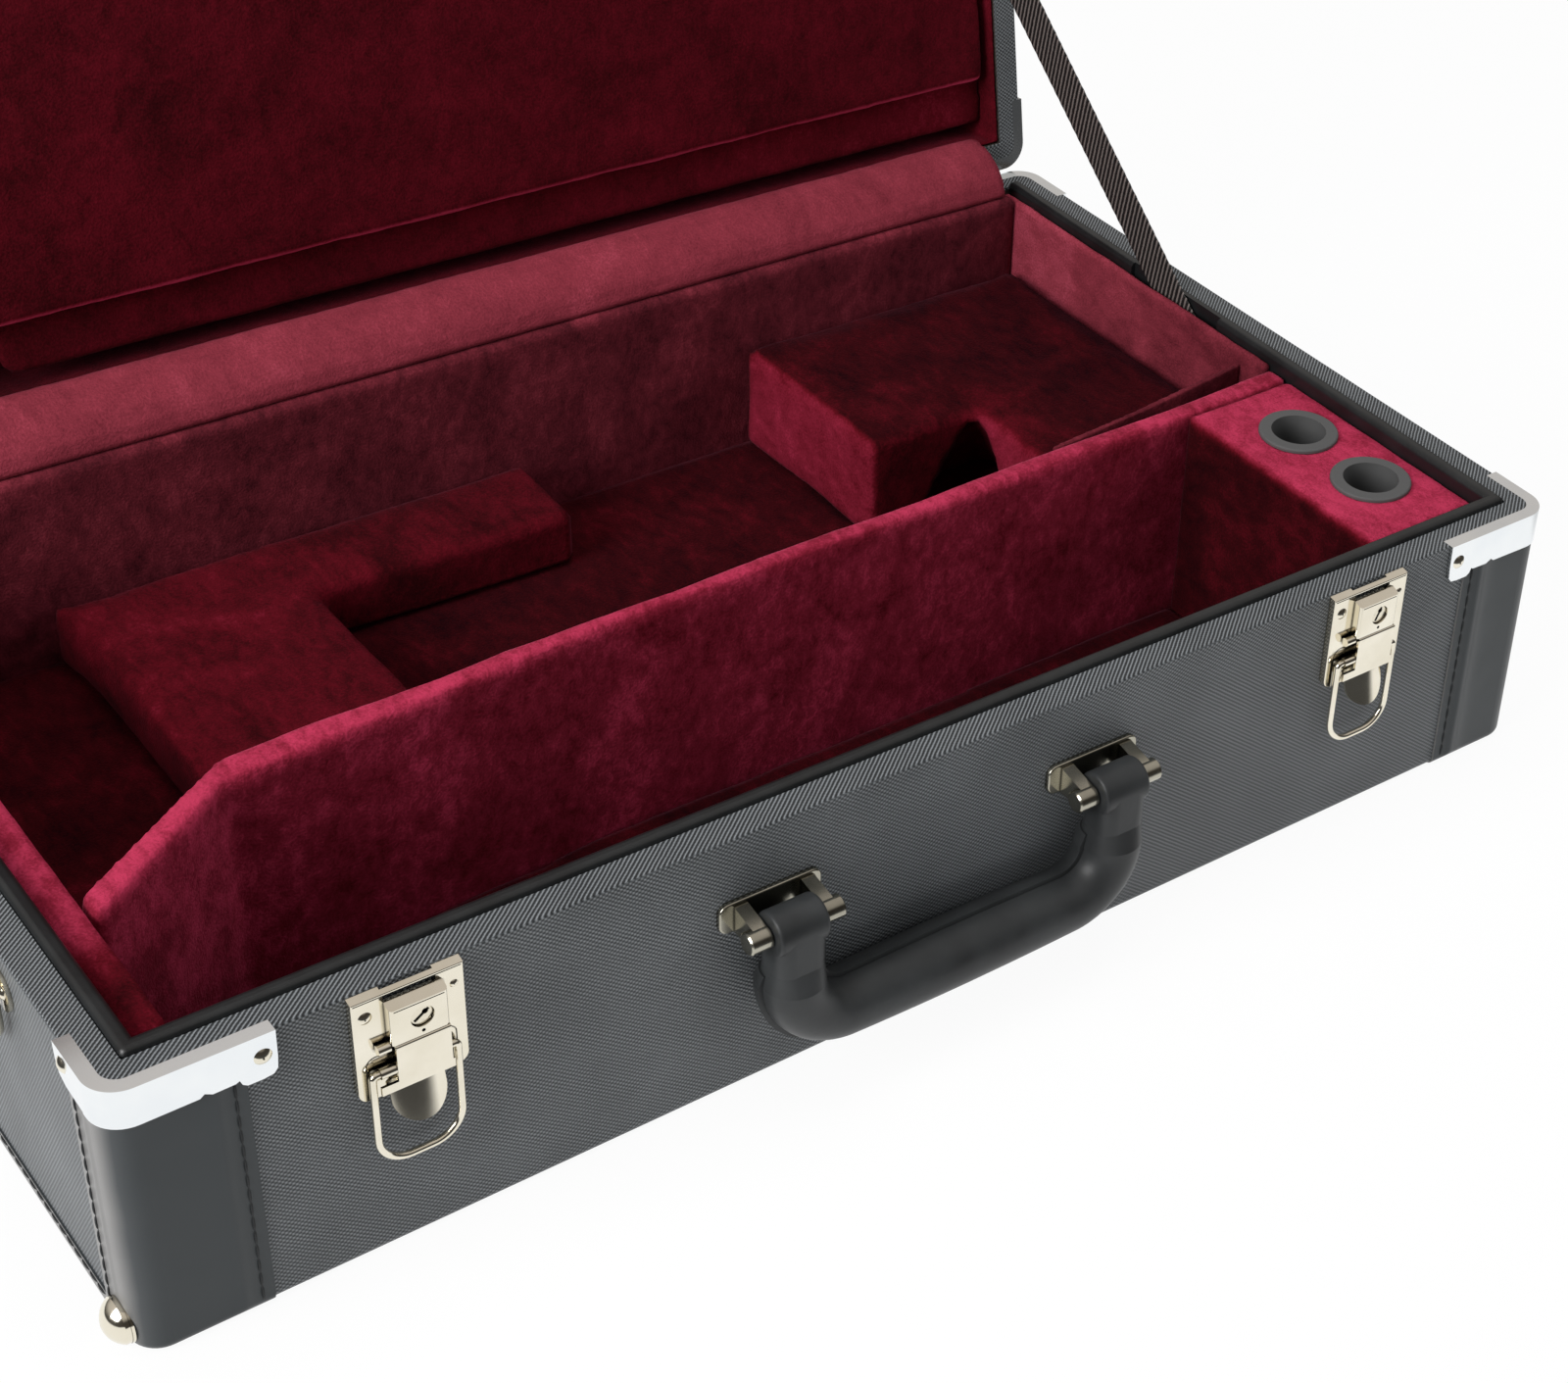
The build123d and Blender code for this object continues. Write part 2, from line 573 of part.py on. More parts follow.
def grip_run(radius, width, depth):
    """The U of the grip about its centre line, arms turning into a round bar."""
    left, right = GRIP_X
    mid_z = GRIP_BAR_Z + GRIP_BEND
    pieces = []
    for x, side in ((left, 1), (right, -1)):
        section = Plane.XY.offset(ARM_END_Z) * Pos(x, GRIP_Y) * RectangleRounded(width, depth, 6)
        arm = extrude(section, amount=PIVOT_Z - ARM_END_Z)
        round_end = Plane.XY.offset(mid_z) * Pos(x, GRIP_Y) * Circle(radius)
        blend = loft([section, round_end])
        bend_axis = Axis((x + side * GRIP_BEND, GRIP_Y, mid_z), (0, side, 0))
        bend = revolve(round_end, axis=bend_axis, revolution_arc=-90)
        pieces += [arm, blend, bend]
    x0, x1 = left + GRIP_BEND, right - GRIP_BEND
    swell = 0.6
    edge = ThreePointArc((x0, radius), ((x0 + x1) / 2, radius + swell), (x1, radius))
    half = make_face(edge + Polyline((x1, radius), (x1, 0), (x0, 0), (x0, radius)))
    bar = revolve(half, axis=Axis.X)
    pieces.append(Pos(0, GRIP_Y, GRIP_BAR_Z) * bar)
    run = pieces[0]
    for piece in pieces[1:]:
        run = run + piece
    return run


def grip():
    """Front moulding with a slightly larger rear half, bored for the two pins."""
    front = grip_run(GRIP_R, 20.0, 17.0)
    rear = grip_run(GRIP_R + REAR_PROUD, 20.0, 17.0)
    rear = rear & block(150, 450, GRIP_Y + 1, 0, 10, 60)
    body = front + rear
    for x in GRIP_X:
        knob = rod(x - 10, x + 10, GRIP_Y, PIVOT_Z, 8.5)
        knob = fillet(knob.edges(), 1.5)
        body = body + knob
    return body - rod(100, 500, GRIP_Y, PIVOT_Z, PIN_R + 0.06)


def handle_pins():
    return [rod(x - 16.5, x + 16.5, GRIP_Y, PIVOT_Z, PIN_R) for x in GRIP_X]


# ---- rings -------------------------------------------------------------------------------


def ring_bracket():
    """Two-lobed plate with a clip over the straight bar of the ring."""
    outward = Pos(0, RING_Y, RING_Z) * Rot(0, -90, 0)
    plate = outward * extrude(SlotOverall(38, 9, rotation=90), amount=RING_PLATE_T)
    for dy in (-12.5, 12.5):
        plate = plate + Pos(0, dy, 0) * outward * extrude(Circle(7.2), amount=RING_PLATE_T)
    clip = Pos(RING_PIVOT_X, RING_Y, RING_Z) * Rot(90, 0, 0) * Cylinder(3.2, 9)
    clip = clip + block(RING_PIVOT_X, -0.7, RING_Y - 4.5, RING_Y + 4.5, RING_Z - 3.2, RING_Z + 3.2)
    bracket = plate + clip
    return bracket - Pos(RING_PIVOT_X, RING_Y, RING_Z) * Rot(90, 0, 0) * Cylinder(RING_WIRE_R + 0.05, 20)


def ring():
    """D-shaped wire ring."""
    half, drop = 12.0, 21.0
    path = FilletPolyline((RING_PIVOT_X, RING_Y - 3, RING_Z), (RING_PIVOT_X, RING_Y - half, RING_Z),
                          (RING_PIVOT_X, RING_Y - half, RING_Z - drop),
                          (RING_PIVOT_X, RING_Y + half, RING_Z - drop),
                          (RING_PIVOT_X, RING_Y + half, RING_Z), (RING_PIVOT_X, RING_Y + 3, RING_Z),
                          radius=[3, 9, 9, 3])
    wire = sweep(Plane(path @ 0, z_dir=path % 0) * Circle(RING_WIRE_R), path=path)
    bar = Pos(RING_PIVOT_X, RING_Y, RING_Z) * Rot(90, 0, 0) * Cylinder(RING_WIRE_R, 7)
    return wire + bar


def ring_rivets():
    head = dome(2.6, 1.2)
    heads = [on_face(head, -RING_PLATE_T, RING_Y + dy, RING_Z, (-1, 0, 0)) for dy in (-13.5, 13.5)]
    return heads + [Pos(LENGTH, 0, 0) * mirror(h, Plane.YZ) for h in heads]


# ---- hinges ------------------------------------------------------------------------------

def knuckles(x, base_side):
    """The base carries the odd knuckles, the lid the even ones."""
    pitch = LEAF_W / KNUCKLES
    group = None
    for i in range(KNUCKLES):
        if (i % 2 == 0) != base_side:
            continue
        x0 = x - LEAF_W / 2 + i * pitch + 0.15
        x1 = x0 + pitch - 0.3
        piece = rod(x0, x1, HINGE_Y, HINGE_Z, KNUCKLE_R)
        lo, hi = (HINGE_Z - 4, HINGE_Z) if base_side else (HINGE_Z, HINGE_Z + 4)
        piece = piece + block(x0, x1, WIDTH + 0.15, WIDTH + 0.15 + LEAF_T, lo, hi)
        group = piece if group is None else group + piece
    return group


def hinge_leaf(x, base_side):
    root, far = KNUCKLE_R + 0.5, LEAF_H
    lo, hi = (HINGE_Z - far, HINGE_Z - root) if base_side else (HINGE_Z + root, HINGE_Z + far)
    leaf = block(x - LEAF_W / 2, x + LEAF_W / 2, WIDTH + 0.02, WIDTH + 0.15 + LEAF_T, lo, hi)
    leaf = leaf + knuckles(x, base_side)
    return leaf - rod(x - LEAF_W, x + LEAF_W, HINGE_Y, HINGE_Z, HINGE_PIN_R + 0.05)


def hinge_pins():
    half = LEAF_W / 2
    return [rod(x - half, x + half, HINGE_Y, HINGE_Z, HINGE_PIN_R) for x in HINGE_X]


def leaf_rivets(base_side):
    z = HINGE_Z - 18 if base_side else HINGE_Z + 18
    y = WIDTH + 0.15 + LEAF_T
    return [on_face(dome(2.6, 1.1), x + dx, y, z, (0, 1, 0)) for x in HINGE_X for dx in (-17, 0, 17)]


# ---- inside the lid ----------------------------------------------------------------------


def lid_lining():
    """Velvet-covered strips round the walls, starting a little behind the rim."""
    low, high = LID_RIM_Z + 3.2, LID_TOP_Z - SKIN - PANEL - 0.1
    return case_plan(LID_WALL + 0.1, low, high) - case_plan(LID_WALL + 2.0, low - 1, high + 1)


def ceiling_pad():
    top = LID_TOP_Z - SKIN - PANEL - 0.1
    return case_plan(LID_WALL + 2.2, top - 3, top)


def lid_flap():
    z0 = LID_RIM_Z + FLAP_FACE
    board = block(FLAP_X0, FLAP_X1, FLAP_Y0, FLAP_Y1, z0, z0 + FLAP_T)
    free = board.edges().filter_by(Axis.Z).group_by(Axis.Y)[-1]
    board = fillet(free, 4.0)
    return fillet(board.edges().group_by(Axis.Z)[0].filter_by(lambda e: e.center().Y > FLAP_Y0 + 1), 2.5)


def lid_ledge():
    """Board behind the free edge of the flap, closed towards the hinge."""
    z0 = LID_RIM_Z + FLAP_FACE + FLAP_T + 0.3
    top = LID_TOP_Z - SKIN - PANEL - 3.2
    board = block(120, 586.4, 262, 331, z0, z0 + 4)
    board = fillet(board.edges().filter_by(Axis.Z).group_by(Axis.X)[0], 9.0)
    wall = block(130, 586.4, 327, 331, z0 + 3, top)
    return board + wall


def flap_tape():
    """Cloth hinge strip on the lid wall along the far edge of the flap."""
    return block(FLAP_X0 + 6, FLAP_X1 - 6, 13.5, 14.3, LID_RIM_Z + 3.4, LID_RIM_Z + 12)


# ---- soft links between base and lid -----------------------------------------------------


def hinge_strip():
    """Plush strip that bridges the hinge gap, bowed forward."""
    outer = ThreePointArc((LEFT_LINING_X + 1, 328.2, 114.4), (LEFT_LINING_X + 1, 338.6, 126.8),
                          (LEFT_LINING_X + 1, 354.0, 133.4))
    inner = ThreePointArc((LEFT_LINING_X + 1, 354.8, 130.6), (LEFT_LINING_X + 1, 340.6, 124.4),
                          (LEFT_LINING_X + 1, 331.6, 114.4))
    face = make_face(outer + Line(outer @ 1, inner @ 0) + inner + Line(inner @ 1, outer @ 0))
    strip = extrude(face, amount=LENGTH - 2 * LEFT_LINING_X - 2 + 14, dir=(1, 0, 0))
    return Pos(-9, 0, 0) * strip


def stay_strap():
    a, b = Vector(*STRAP_FROM), Vector(*STRAP_TO)
    along = (b - a).normalized()
    across = along.cross(Vector(1, 0, 0)).normalized()
    frame = Plane(origin=(a + b) * 0.5, x_dir=across, z_dir=along)
    return frame * Box(STRAP_W, STRAP_T, (b - a).length)


# ---- assembly ----------------------------------------------------------------------------


def base_nodes():
    guards = rim_guards(BASE_H)
    main_floor, tray_floor = floors()
    left_ring = ring_bracket()
    nodes = {
        "base_frame": wall_frame(BASE_H, BASE_WALL),
        "base_bottom_panel": panel(BASE_WALL),
        "base_side_covering": side_covering(BASE_H, BASE_WALL, guards),
        "base_bottom_covering": flat_covering(),
        "base_end_bindings": end_bindings(),
        "base_corner_patches": corner_patches(BASE_H, guards),
        "base_corner_guards": guards,
        "base_rivets": guard_rivets(BASE_H) + leaf_rivets(True),
        "base_feet": feet(),
        "base_inner_lip": inner_lip(),
        "main_floor_pad": main_floor,
        "tray_floor_pad": tray_floor,
        "divider": divider(),
        "left_support_block": left_support(),
        "right_support_block": right_support(),
        "mouthpiece_block": mouthpiece_block(),
        "mouthpiece_sleeves": mouthpiece_sleeves(),
        "pocket_flap": pocket_flap(),
        "handle_bracket_left": handle_bracket(GRIP_X[0]),
        "handle_bracket_right": handle_bracket(GRIP_X[1]),
        "handle_pins": handle_pins(),
        "ring_brackets": [left_ring, Pos(LENGTH, 0, 0) * mirror(left_ring, Plane.YZ)],
        "ring_rivets": ring_rivets(),
        "hinge_base_leaves": [hinge_leaf(x, True) for x in HINGE_X],
        "hinge_pins": hinge_pins(),
        "hinge_strip": hinge_strip(),
        "stay_strap": stay_strap(),
        "latch_rivets": latch_rivets(LATCH_X[0]) + latch_rivets(LATCH_X[1]),
    }
    nodes.update(linings())
    for name, x in zip(("left", "right"), LATCH_X):
        nodes["latch_backplate_" + name] = latch_backplate(x)
        nodes["lock_body_" + name] = lock_body(x)
    return nodes


def moving_nodes():
    left_ring = ring()
    nodes = {
        "handle_grip": grip(),
        "ring_left": left_ring,
        "ring_right": Pos(LENGTH, 0, 0) * mirror(left_ring, Plane.YZ),
    }
    for name, x, turn in zip(("left", "right"), LATCH_X, KEY_TURN):
        nodes["latch_lever_" + name] = lever(x)
        nodes["latch_bail_" + name] = bail(x)
        nodes["key_barrel_" + name] = key_barrel(x, turn)
    return nodes


def lid_nodes():
    guards = rim_guards(LID_H)
    shells = {
        "lid_frame": wall_frame(LID_H, LID_WALL),
        "lid_top_panel": panel(LID_WALL),
        "lid_side_covering": side_covering(LID_H, LID_WALL, guards),
        "lid_top_covering": flat_covering(),
        "lid_corner_patches": corner_patches(LID_H, guards),
        "lid_corner_guards": guards,
        "lid_feet": feet(),
    }
    nodes = {}
    for name, shape in shells.items():
        pieces = shape if isinstance(shape, list) else [shape]
        nodes[name] = [turned_over(piece) for piece in pieces]
    nodes["lid_rivets"] = [turned_over(r) for r in guard_rivets(LID_H)] + leaf_rivets(False)
    nodes["hinge_lid_leaves"] = [hinge_leaf(x, False) for x in HINGE_X]
    nodes["lid_lining"] = [lid_lining()]
    nodes["lid_ceiling_pad"] = [ceiling_pad()]
    nodes["lid_ledge"] = [lid_ledge()]
    nodes["lid_flap"] = [lid_flap()]
    nodes["flap_tape"] = [flap_tape()]
    nodes["strikes"] = [strike(x) for x in LATCH_X]
    return {name: [opened(piece) for piece in pieces] for name, pieces in nodes.items()}


def write(nodes):
    """Writes each node with the middle of the base floor at zero."""
    to_frame = Pos(-LENGTH / 2, -WIDTH / 2, 0)
    for name, shape in nodes.items():
        pieces = shape if isinstance(shape, list) else [shape]
        solids = [to_frame * solid for piece in pieces for solid in piece.solids()]
        body = solids[0] if len(solids) == 1 else Compound(children=solids)
        export_step(body, "parts/" + name + ".step")


write(base_nodes())
write(moving_nodes())
write(lid_nodes())
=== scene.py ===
import math

import bpy
from mathutils import Matrix, Vector, noise


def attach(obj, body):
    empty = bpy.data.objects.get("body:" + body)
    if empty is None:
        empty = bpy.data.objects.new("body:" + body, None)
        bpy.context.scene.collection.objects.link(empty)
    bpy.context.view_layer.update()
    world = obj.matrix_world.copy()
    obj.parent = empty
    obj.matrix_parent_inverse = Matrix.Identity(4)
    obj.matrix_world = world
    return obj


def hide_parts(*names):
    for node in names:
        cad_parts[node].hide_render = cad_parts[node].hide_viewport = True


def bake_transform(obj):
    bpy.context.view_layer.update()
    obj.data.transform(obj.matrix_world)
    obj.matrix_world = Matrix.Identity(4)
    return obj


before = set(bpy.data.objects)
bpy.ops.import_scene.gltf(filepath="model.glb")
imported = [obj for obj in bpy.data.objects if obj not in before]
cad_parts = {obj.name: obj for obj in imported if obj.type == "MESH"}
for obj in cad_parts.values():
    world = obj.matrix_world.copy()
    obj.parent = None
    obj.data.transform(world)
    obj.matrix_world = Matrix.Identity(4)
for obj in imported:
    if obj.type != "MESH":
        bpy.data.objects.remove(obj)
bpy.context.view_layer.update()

scene = bpy.context.scene
scene.view_settings.view_transform = "Standard"


# ---- Where the case is seen from -------------------------------------------------------
# The open case stands with its handle side to the front. The viewer stands in front of its
# left half and looks down on it, turned to the right.

VIEWER = Vector((-0.486646, -0.812528, 0.728744))
YAW, PITCH, ROLL = math.radians(42.4394), math.radians(35.0675), math.radians(5.7310)
FOCAL_PX, CENTRE_PX, SIZE_PX = 2963.19, (1181.49, 659.34), (1600.0, 1411.0)

ahead = Vector((math.sin(YAW) * math.cos(PITCH), math.cos(YAW) * math.cos(PITCH), -math.sin(PITCH)))
level = Vector((math.cos(YAW), -math.sin(YAW), 0.0))
above = level.cross(ahead)
right = level * math.cos(ROLL) + above * math.sin(ROLL)
up = above * math.cos(ROLL) - level * math.sin(ROLL)

lens = bpy.data.cameras.new("viewer")
lens.sensor_width = 36.0
lens.lens = FOCAL_PX / SIZE_PX[0] * lens.sensor_width
lens.shift_x = (SIZE_PX[0] / 2 - CENTRE_PX[0]) / SIZE_PX[0]
lens.shift_y = (CENTRE_PX[1] - SIZE_PX[1] / 2) / SIZE_PX[0]
lens.clip_start, lens.clip_end = 0.02, 50.0
viewer = bpy.data.objects.new("viewer", lens)
viewer.matrix_world = Matrix.Translation(VIEWER) @ Matrix((right, up, -ahead)).transposed().to_4x4()
scene.collection.objects.link(viewer)
scene.camera = viewer


# ---- Plywood boards --------------------------------------------------------------------
# The base and the lid are thin plywood trays. The cloth and the plush hide nearly all of the
# wood, and its edges are stained dark where they might show.

def put(tree, kind, ins=(), **props):
    """One shader node. ins gives sockets by name or number, as a value or a socket to join."""
    node = tree.nodes.new("ShaderNode" + kind)
    for key, value in props.items():
        setattr(node, key, value)
    for key, value in dict(ins).items():
        if isinstance(value, bpy.types.NodeSocket):
            tree.links.new(value, node.inputs[key])
        else:
            node.inputs[key].default_value = value
    return node


def colour(red, green, blue):
    """A colour named by its screen values, 0 to 255, as the linear light a shader takes."""
    def light(value):
        value /= 255.0
        return value / 12.92 if value <= 0.04045 else ((value + 0.055) / 1.055) ** 2.4
    return (light(red), light(green), light(blue), 1.0)


def ramp(tree, tone, stops):
    """Colours along a tone: stops are (place, colour)."""
    node = put(tree, "ValToRGB", {0: tone})
    band = node.color_ramp
    while len(band.elements) < len(stops):
        band.elements.new(0.5)
    for element, (place, shade) in zip(band.elements, stops):
        element.position, element.color = place, shade
    return node.outputs["Color"]


def finish(name, colour_socket, height=None, depth=0.0, rough=None, metal=None, **plain):
    """Closes a material: one Principled shader with its colour, relief and plain values. rough
    and metal are sockets, for a roughness or a metal look that changes over the surface."""
    material = bpy.data.materials[name]
    tree = material.node_tree
    values = {key.replace("_", " "): value for key, value in plain.items()}
    shader = put(tree, "BsdfPrincipled", values)
    tree.links.new(colour_socket, shader.inputs["Base Color"])
    for socket, name_there in ((rough, "Roughness"), (metal, "Metallic")):
        if socket is not None:
            tree.links.new(socket, shader.inputs[name_there])
    if height is not None:
        bump = put(tree, "Bump", {"Strength": 1.0, "Distance": depth, "Height": height})
        tree.links.new(bump.outputs["Normal"], shader.inputs["Normal"])
    put(tree, "OutputMaterial", {"Surface": shader.outputs["BSDF"]})
    return material


def begin(name):
    """A new material with an empty tree, and its object coordinates and normal."""
    material = bpy.data.materials.new(name)
    material.use_nodes = True
    material.node_tree.nodes.clear()
    place = put(material.node_tree, "TexCoord")
    return material.node_tree, place.outputs["Object"], place.outputs["Normal"]


def wear(material, *nodes):
    """The material goes on every slot of these CAD nodes."""
    for name in nodes:
        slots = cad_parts[name].material_slots
        for place in slots:
            place.material = material


tree, spot, facing = begin("plywood")
along_grain = put(tree, "Mapping", {"Vector": spot, "Scale": (18.0, 160.0, 160.0)}).outputs[0]
grain = put(tree, "TexNoise", {"Vector": along_grain, "Scale": 1.0, "Detail": 6.0, "Roughness": 0.6})
shade = ramp(tree, grain.outputs["Fac"], [(0.3, colour(38, 33, 29)), (0.7, colour(64, 57, 50))])
plywood = finish("plywood", shade, grain.outputs["Fac"], 0.0002, Roughness=0.7)
wear(plywood, "base_frame", "base_bottom_panel", "lid_frame", "lid_top_panel")


# ---- Twill covering --------------------------------------------------------------------
# Charcoal cloth with fine diagonal ribs is glued over the wooden walls, folded over the rims
# and under the edges. The ribs are spun from a light and a dark yarn; on the rims their lighter
# crests are also a painted highlight of the light from above.

def sums(tree, operation, *values):
    """A Math node's result."""
    return put(tree, "Math", dict(enumerate(values)), operation=operation).outputs[0]


def vectors(tree, operation, *values, out=0):
    """A VectorMath node's result."""
    return put(tree, "VectorMath", dict(enumerate(values)), operation=operation).outputs[out]


def sockets(group, ins, outs):
    """Declares a node group's vector or number inputs and its number outputs."""
    for name, kind in ins:
        group.interface.new_socket(name, in_out="INPUT", socket_type="NodeSocket" + kind)
    for name in outs:
        group.interface.new_socket(name, in_out="OUTPUT", socket_type="NodeSocketFloat")
    return group.nodes.new("NodeGroupInput").outputs, group.nodes.new("NodeGroupOutput").inputs


ribs = bpy.data.node_groups.new("twill_ribs", "ShaderNodeTree")
given, back = sockets(ribs, (("Place", "Vector"), ("Facing", "Vector")), ("Height",))
nx, ny, nz = [sums(ribs, "ABSOLUTE", s)
              for s in put(ribs, "SeparateXYZ", {0: given["Facing"]}).outputs[:3]]
on_end = sums(ribs, "GREATER_THAN", nx, sums(ribs, "MAXIMUM", ny, nz))
on_top = sums(ribs, "GREATER_THAN", nz, sums(ribs, "MAXIMUM", nx, ny))
stray = put(ribs, "TexNoise", {"Vector": given["Place"], "Scale": 240.0, "Detail": 2.0}).outputs["Fac"]


def waves(front, end, top, wobble):
    """Ribs as a sine. Each vector points across the ribs on a front, an end or a rim, and is as
    long as the ribs in one metre."""
    front, end, top = Vector(front), Vector(end), Vector(top)
    across = front
    for change, share in ((end - front, on_end), (top - front, on_top)):
        part = put(ribs, "VectorMath", {0: change, "Scale": share}, operation="SCALE").outputs[0]
        across = vectors(ribs, "ADD", part, across)
    turns = sums(ribs, "MULTIPLY", vectors(ribs, "DOT_PRODUCT", given["Place"], across, out=1), math.tau)
    bent = sums(ribs, "MULTIPLY_ADD", stray, wobble, turns)
    return sums(ribs, "MULTIPLY_ADD", sums(ribs, "SINE", bent), 0.5, 0.5)


def gain(wave, front, end, top):
    """A wave about zero, as strong as it shows on a front, an end or a rim."""
    on_rim = sums(ribs, "MULTIPLY_ADD", on_top, top - front, front)
    strength = sums(ribs, "MULTIPLY_ADD", on_end, end - front, on_rim)
    return sums(ribs, "MULTIPLY", sums(ribs, "SUBTRACT", wave, 0.5), strength)


# On the rims the ribs are stronger in colour as well as in relief: their light crests there are partly a
# painted highlight.
rib = gain(waves((449, 0, 566), (0, 620, 436), (462, -560, 0), 1.6), 0.9, 0.75, 2.1)
cross = gain(waves((462, 0, -560), (0, 620, -436), (462, 560, 0), 2.2), 0.9, 0.3, 0.3)
ribs.links.new(sums(ribs, "ADD", rib, cross), back["Height"])

tree, spot, facing = begin("charcoal_twill")
weave = put(tree, "Group", {"Place": spot, "Facing": facing}, node_tree=ribs)
cloud = put(tree, "TexNoise", {"Vector": spot, "Scale": 30.0, "Detail": 4.0})
height = weave.outputs["Height"]
tone = sums(tree, "MULTIPLY_ADD", cloud.outputs["Fac"], 0.3, sums(tree, "MULTIPLY_ADD", height, 0.55, 0.33))
shade = ramp(tree, tone, [
    (0.0, colour(24, 27, 29)), (0.45, colour(66, 70, 73)), (1.0, colour(132, 136, 139))])
twill = finish("charcoal_twill", shade, height, 0.0002, Roughness=0.5, Sheen_Weight=0.1)
wear(twill, "base_side_covering", "base_bottom_covering", "lid_side_covering", "lid_top_covering")


# ---- Vinyl corner patches and bindings -------------------------------------------------
# Smooth charcoal vinyl is sewn over the upright corners and along the lower edge of each end.
# The vinyl swells a little before the seam, which runs 4 mm inside the edge of each patch.

def at(x, y, z):
    """A point in millimetres from the left end, the front and the floor."""
    return Vector((x / 1000 - 0.3, y / 1000 - 0.175, z / 1000))


LID_OPENS = 98.9  # degrees
SWING = Matrix.Rotation(math.radians(-LID_OPENS), 3, "X")
HINGE = at(300, 352.6, 113.6)
SWELL_X, SWELL_Y = 0.2665, 0.1595  # how far the swells are from the middle of the case
SWELL_NARROW = 280.0


def on_lid(point):
    """Where a point of the shut lid is when the lid stands open."""
    return HINGE + SWING @ (point - HINGE)


def vinyl(name, place):
    """Charcoal vinyl with a soft swell beside its seams. place are the mapping's two vectors that
    bring it back to where it is with the lid shut."""
    tree, spot, facing = begin(name)
    shut = put(tree, "Mapping", {"Vector": spot, "Location": place[0], "Rotation": place[1]}).outputs[0]
    x, y, z = put(tree, "SeparateXYZ", {0: shut}).outputs[:3]
    swells = []
    for way, line in ((x, SWELL_X), (y, SWELL_Y)):
        away = sums(tree, "SUBTRACT", sums(tree, "ABSOLUTE", way), line)
        away = sums(tree, "POWER", sums(tree, "MULTIPLY", away, SWELL_NARROW), 2.0)
        swells.append(sums(tree, "DIVIDE", 1.0, sums(tree, "ADD", away, 1.0)))
    swell = sums(tree, "ADD", *swells)
    pores = put(tree, "TexNoise", {"Vector": spot, "Scale": 1500.0, "Detail": 2.0})
    dents = put(tree, "TexNoise", {"Vector": spot, "Scale": 28.0, "Detail": 2.0}).outputs["Fac"]
    height = sums(tree, "MULTIPLY_ADD", pores.outputs["Fac"], 0.012,
                  sums(tree, "MULTIPLY_ADD", dents, 0.3, swell))
    # Faces turned to the ends are painted lighter, a painted highlight of the light from the left.
    ends = sums(tree, "ABSOLUTE", put(tree, "SeparateXYZ", {0: facing}).outputs[0])
    ends = sums(tree, "POWER", ends, 3.0)
    tone = sums(tree, "MULTIPLY_ADD", sums(tree, "SUBTRACT", dents, 0.5), 0.4, ends)
    shade = ramp(tree, tone, [
        (0.0, colour(52, 56, 58)), (0.4, colour(62, 65, 67)), (1.0, colour(116, 115, 114))])
    return finish(name, shade, height, 0.0018, Roughness=0.36, Specular_IOR_Level=0.3)


base_vinyl = vinyl("charcoal_vinyl", ((0, 0, 0), (0, 0, 0)))
wear(base_vinyl, "base_corner_patches", "base_end_bindings")
turned = SWING.inverted()
lid_vinyl = vinyl("charcoal_vinyl_lid", (HINGE - turned @ HINGE, turned.to_euler()))
wear(lid_vinyl, "lid_corner_patches")


def made(name, points, faces, material, body):
    """A piece from its points and faces, on the body that carries it."""
    mesh = bpy.data.meshes.new(name)
    mesh.from_pydata(points, [], faces)
    mesh.materials.append(material)
    for face in mesh.polygons:
        face.use_smooth = True
    piece = bpy.data.objects.new(name, mesh)
    scene.collection.objects.link(piece)
    if body:
        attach(piece, body)
    return piece


def joined_up(rows, around):
    """The faces of a tube: rows of points, each once around it, with both ends closed."""
    faces = []
    for i in range(rows - 1):
        for j in range(around):
            a, b = i * around + j, i * around + (j + 1) % around
            faces.append((a, b, b + around, a + around))
    return faces + [tuple(reversed(range(around))), tuple(range((rows - 1) * around, rows * around))]


def sewn_line(start, end, out, radius=0.00045, stitch=0.006):
    """A sewn thread from start to end: a thin tube that dives at every needle hole."""
    steps, around = 6, 6
    points, faces = [], []
    along = (end - start).normalized()
    side = along.cross(out)
    count = int((end - start).length / stitch) * steps
    for i in range(count + 1):
        lift = abs(math.sin(i * math.pi / steps)) ** 0.5
        middle = start.lerp(end, i / count) + out * radius * (lift * 0.9 - 0.5)
        for j in range(around):
            turn = j * math.tau / around
            spoke = side * math.cos(turn) + out * math.sin(turn)
            points.append(middle + spoke * radius * (0.55 + 0.45 * lift))
    return points, joined_up(count + 1, around)


def sew(name, lines, material, body, move=None):
    """Several sewn lines as one piece."""
    points, faces = [], []
    for start, end, out in lines:
        if move:
            start, end, out = move(start), move(end), SWING @ out
        more, joined = sewn_line(start, end, out)
        faces += [tuple(i + len(points) for i in face) for face in joined]
        points += more
    return made(name, points, faces, material, body)


tree, spot, facing = begin("dark_thread")
ply = put(tree, "TexNoise", {"Vector": spot, "Scale": 2500.0, "Detail": 2.0})
shade = ramp(tree, ply.outputs["Fac"], [(0.3, colour(14, 15, 16)), (0.7, colour(38, 41, 43))])
thread = finish("dark_thread", shade, ply.outputs["Fac"], 0.0001, Roughness=0.7)


def patch_seams(low, high):
    """The seams of the eight patch edges, between two heights."""
    lines = []
    for x in (39.5, 560.5):
        for y, out in ((-0.95, Vector((0, -1, 0))), (350.95, Vector((0, 1, 0)))):
            lines.append((at(x, y, low), at(x, y, high), out))
    for y in (20.5, 329.5):
        for x, out in ((-0.95, Vector((-1, 0, 0))), (600.95, Vector((1, 0, 0)))):
            lines.append((at(x, y, low), at(x, y, high), out))
    return lines


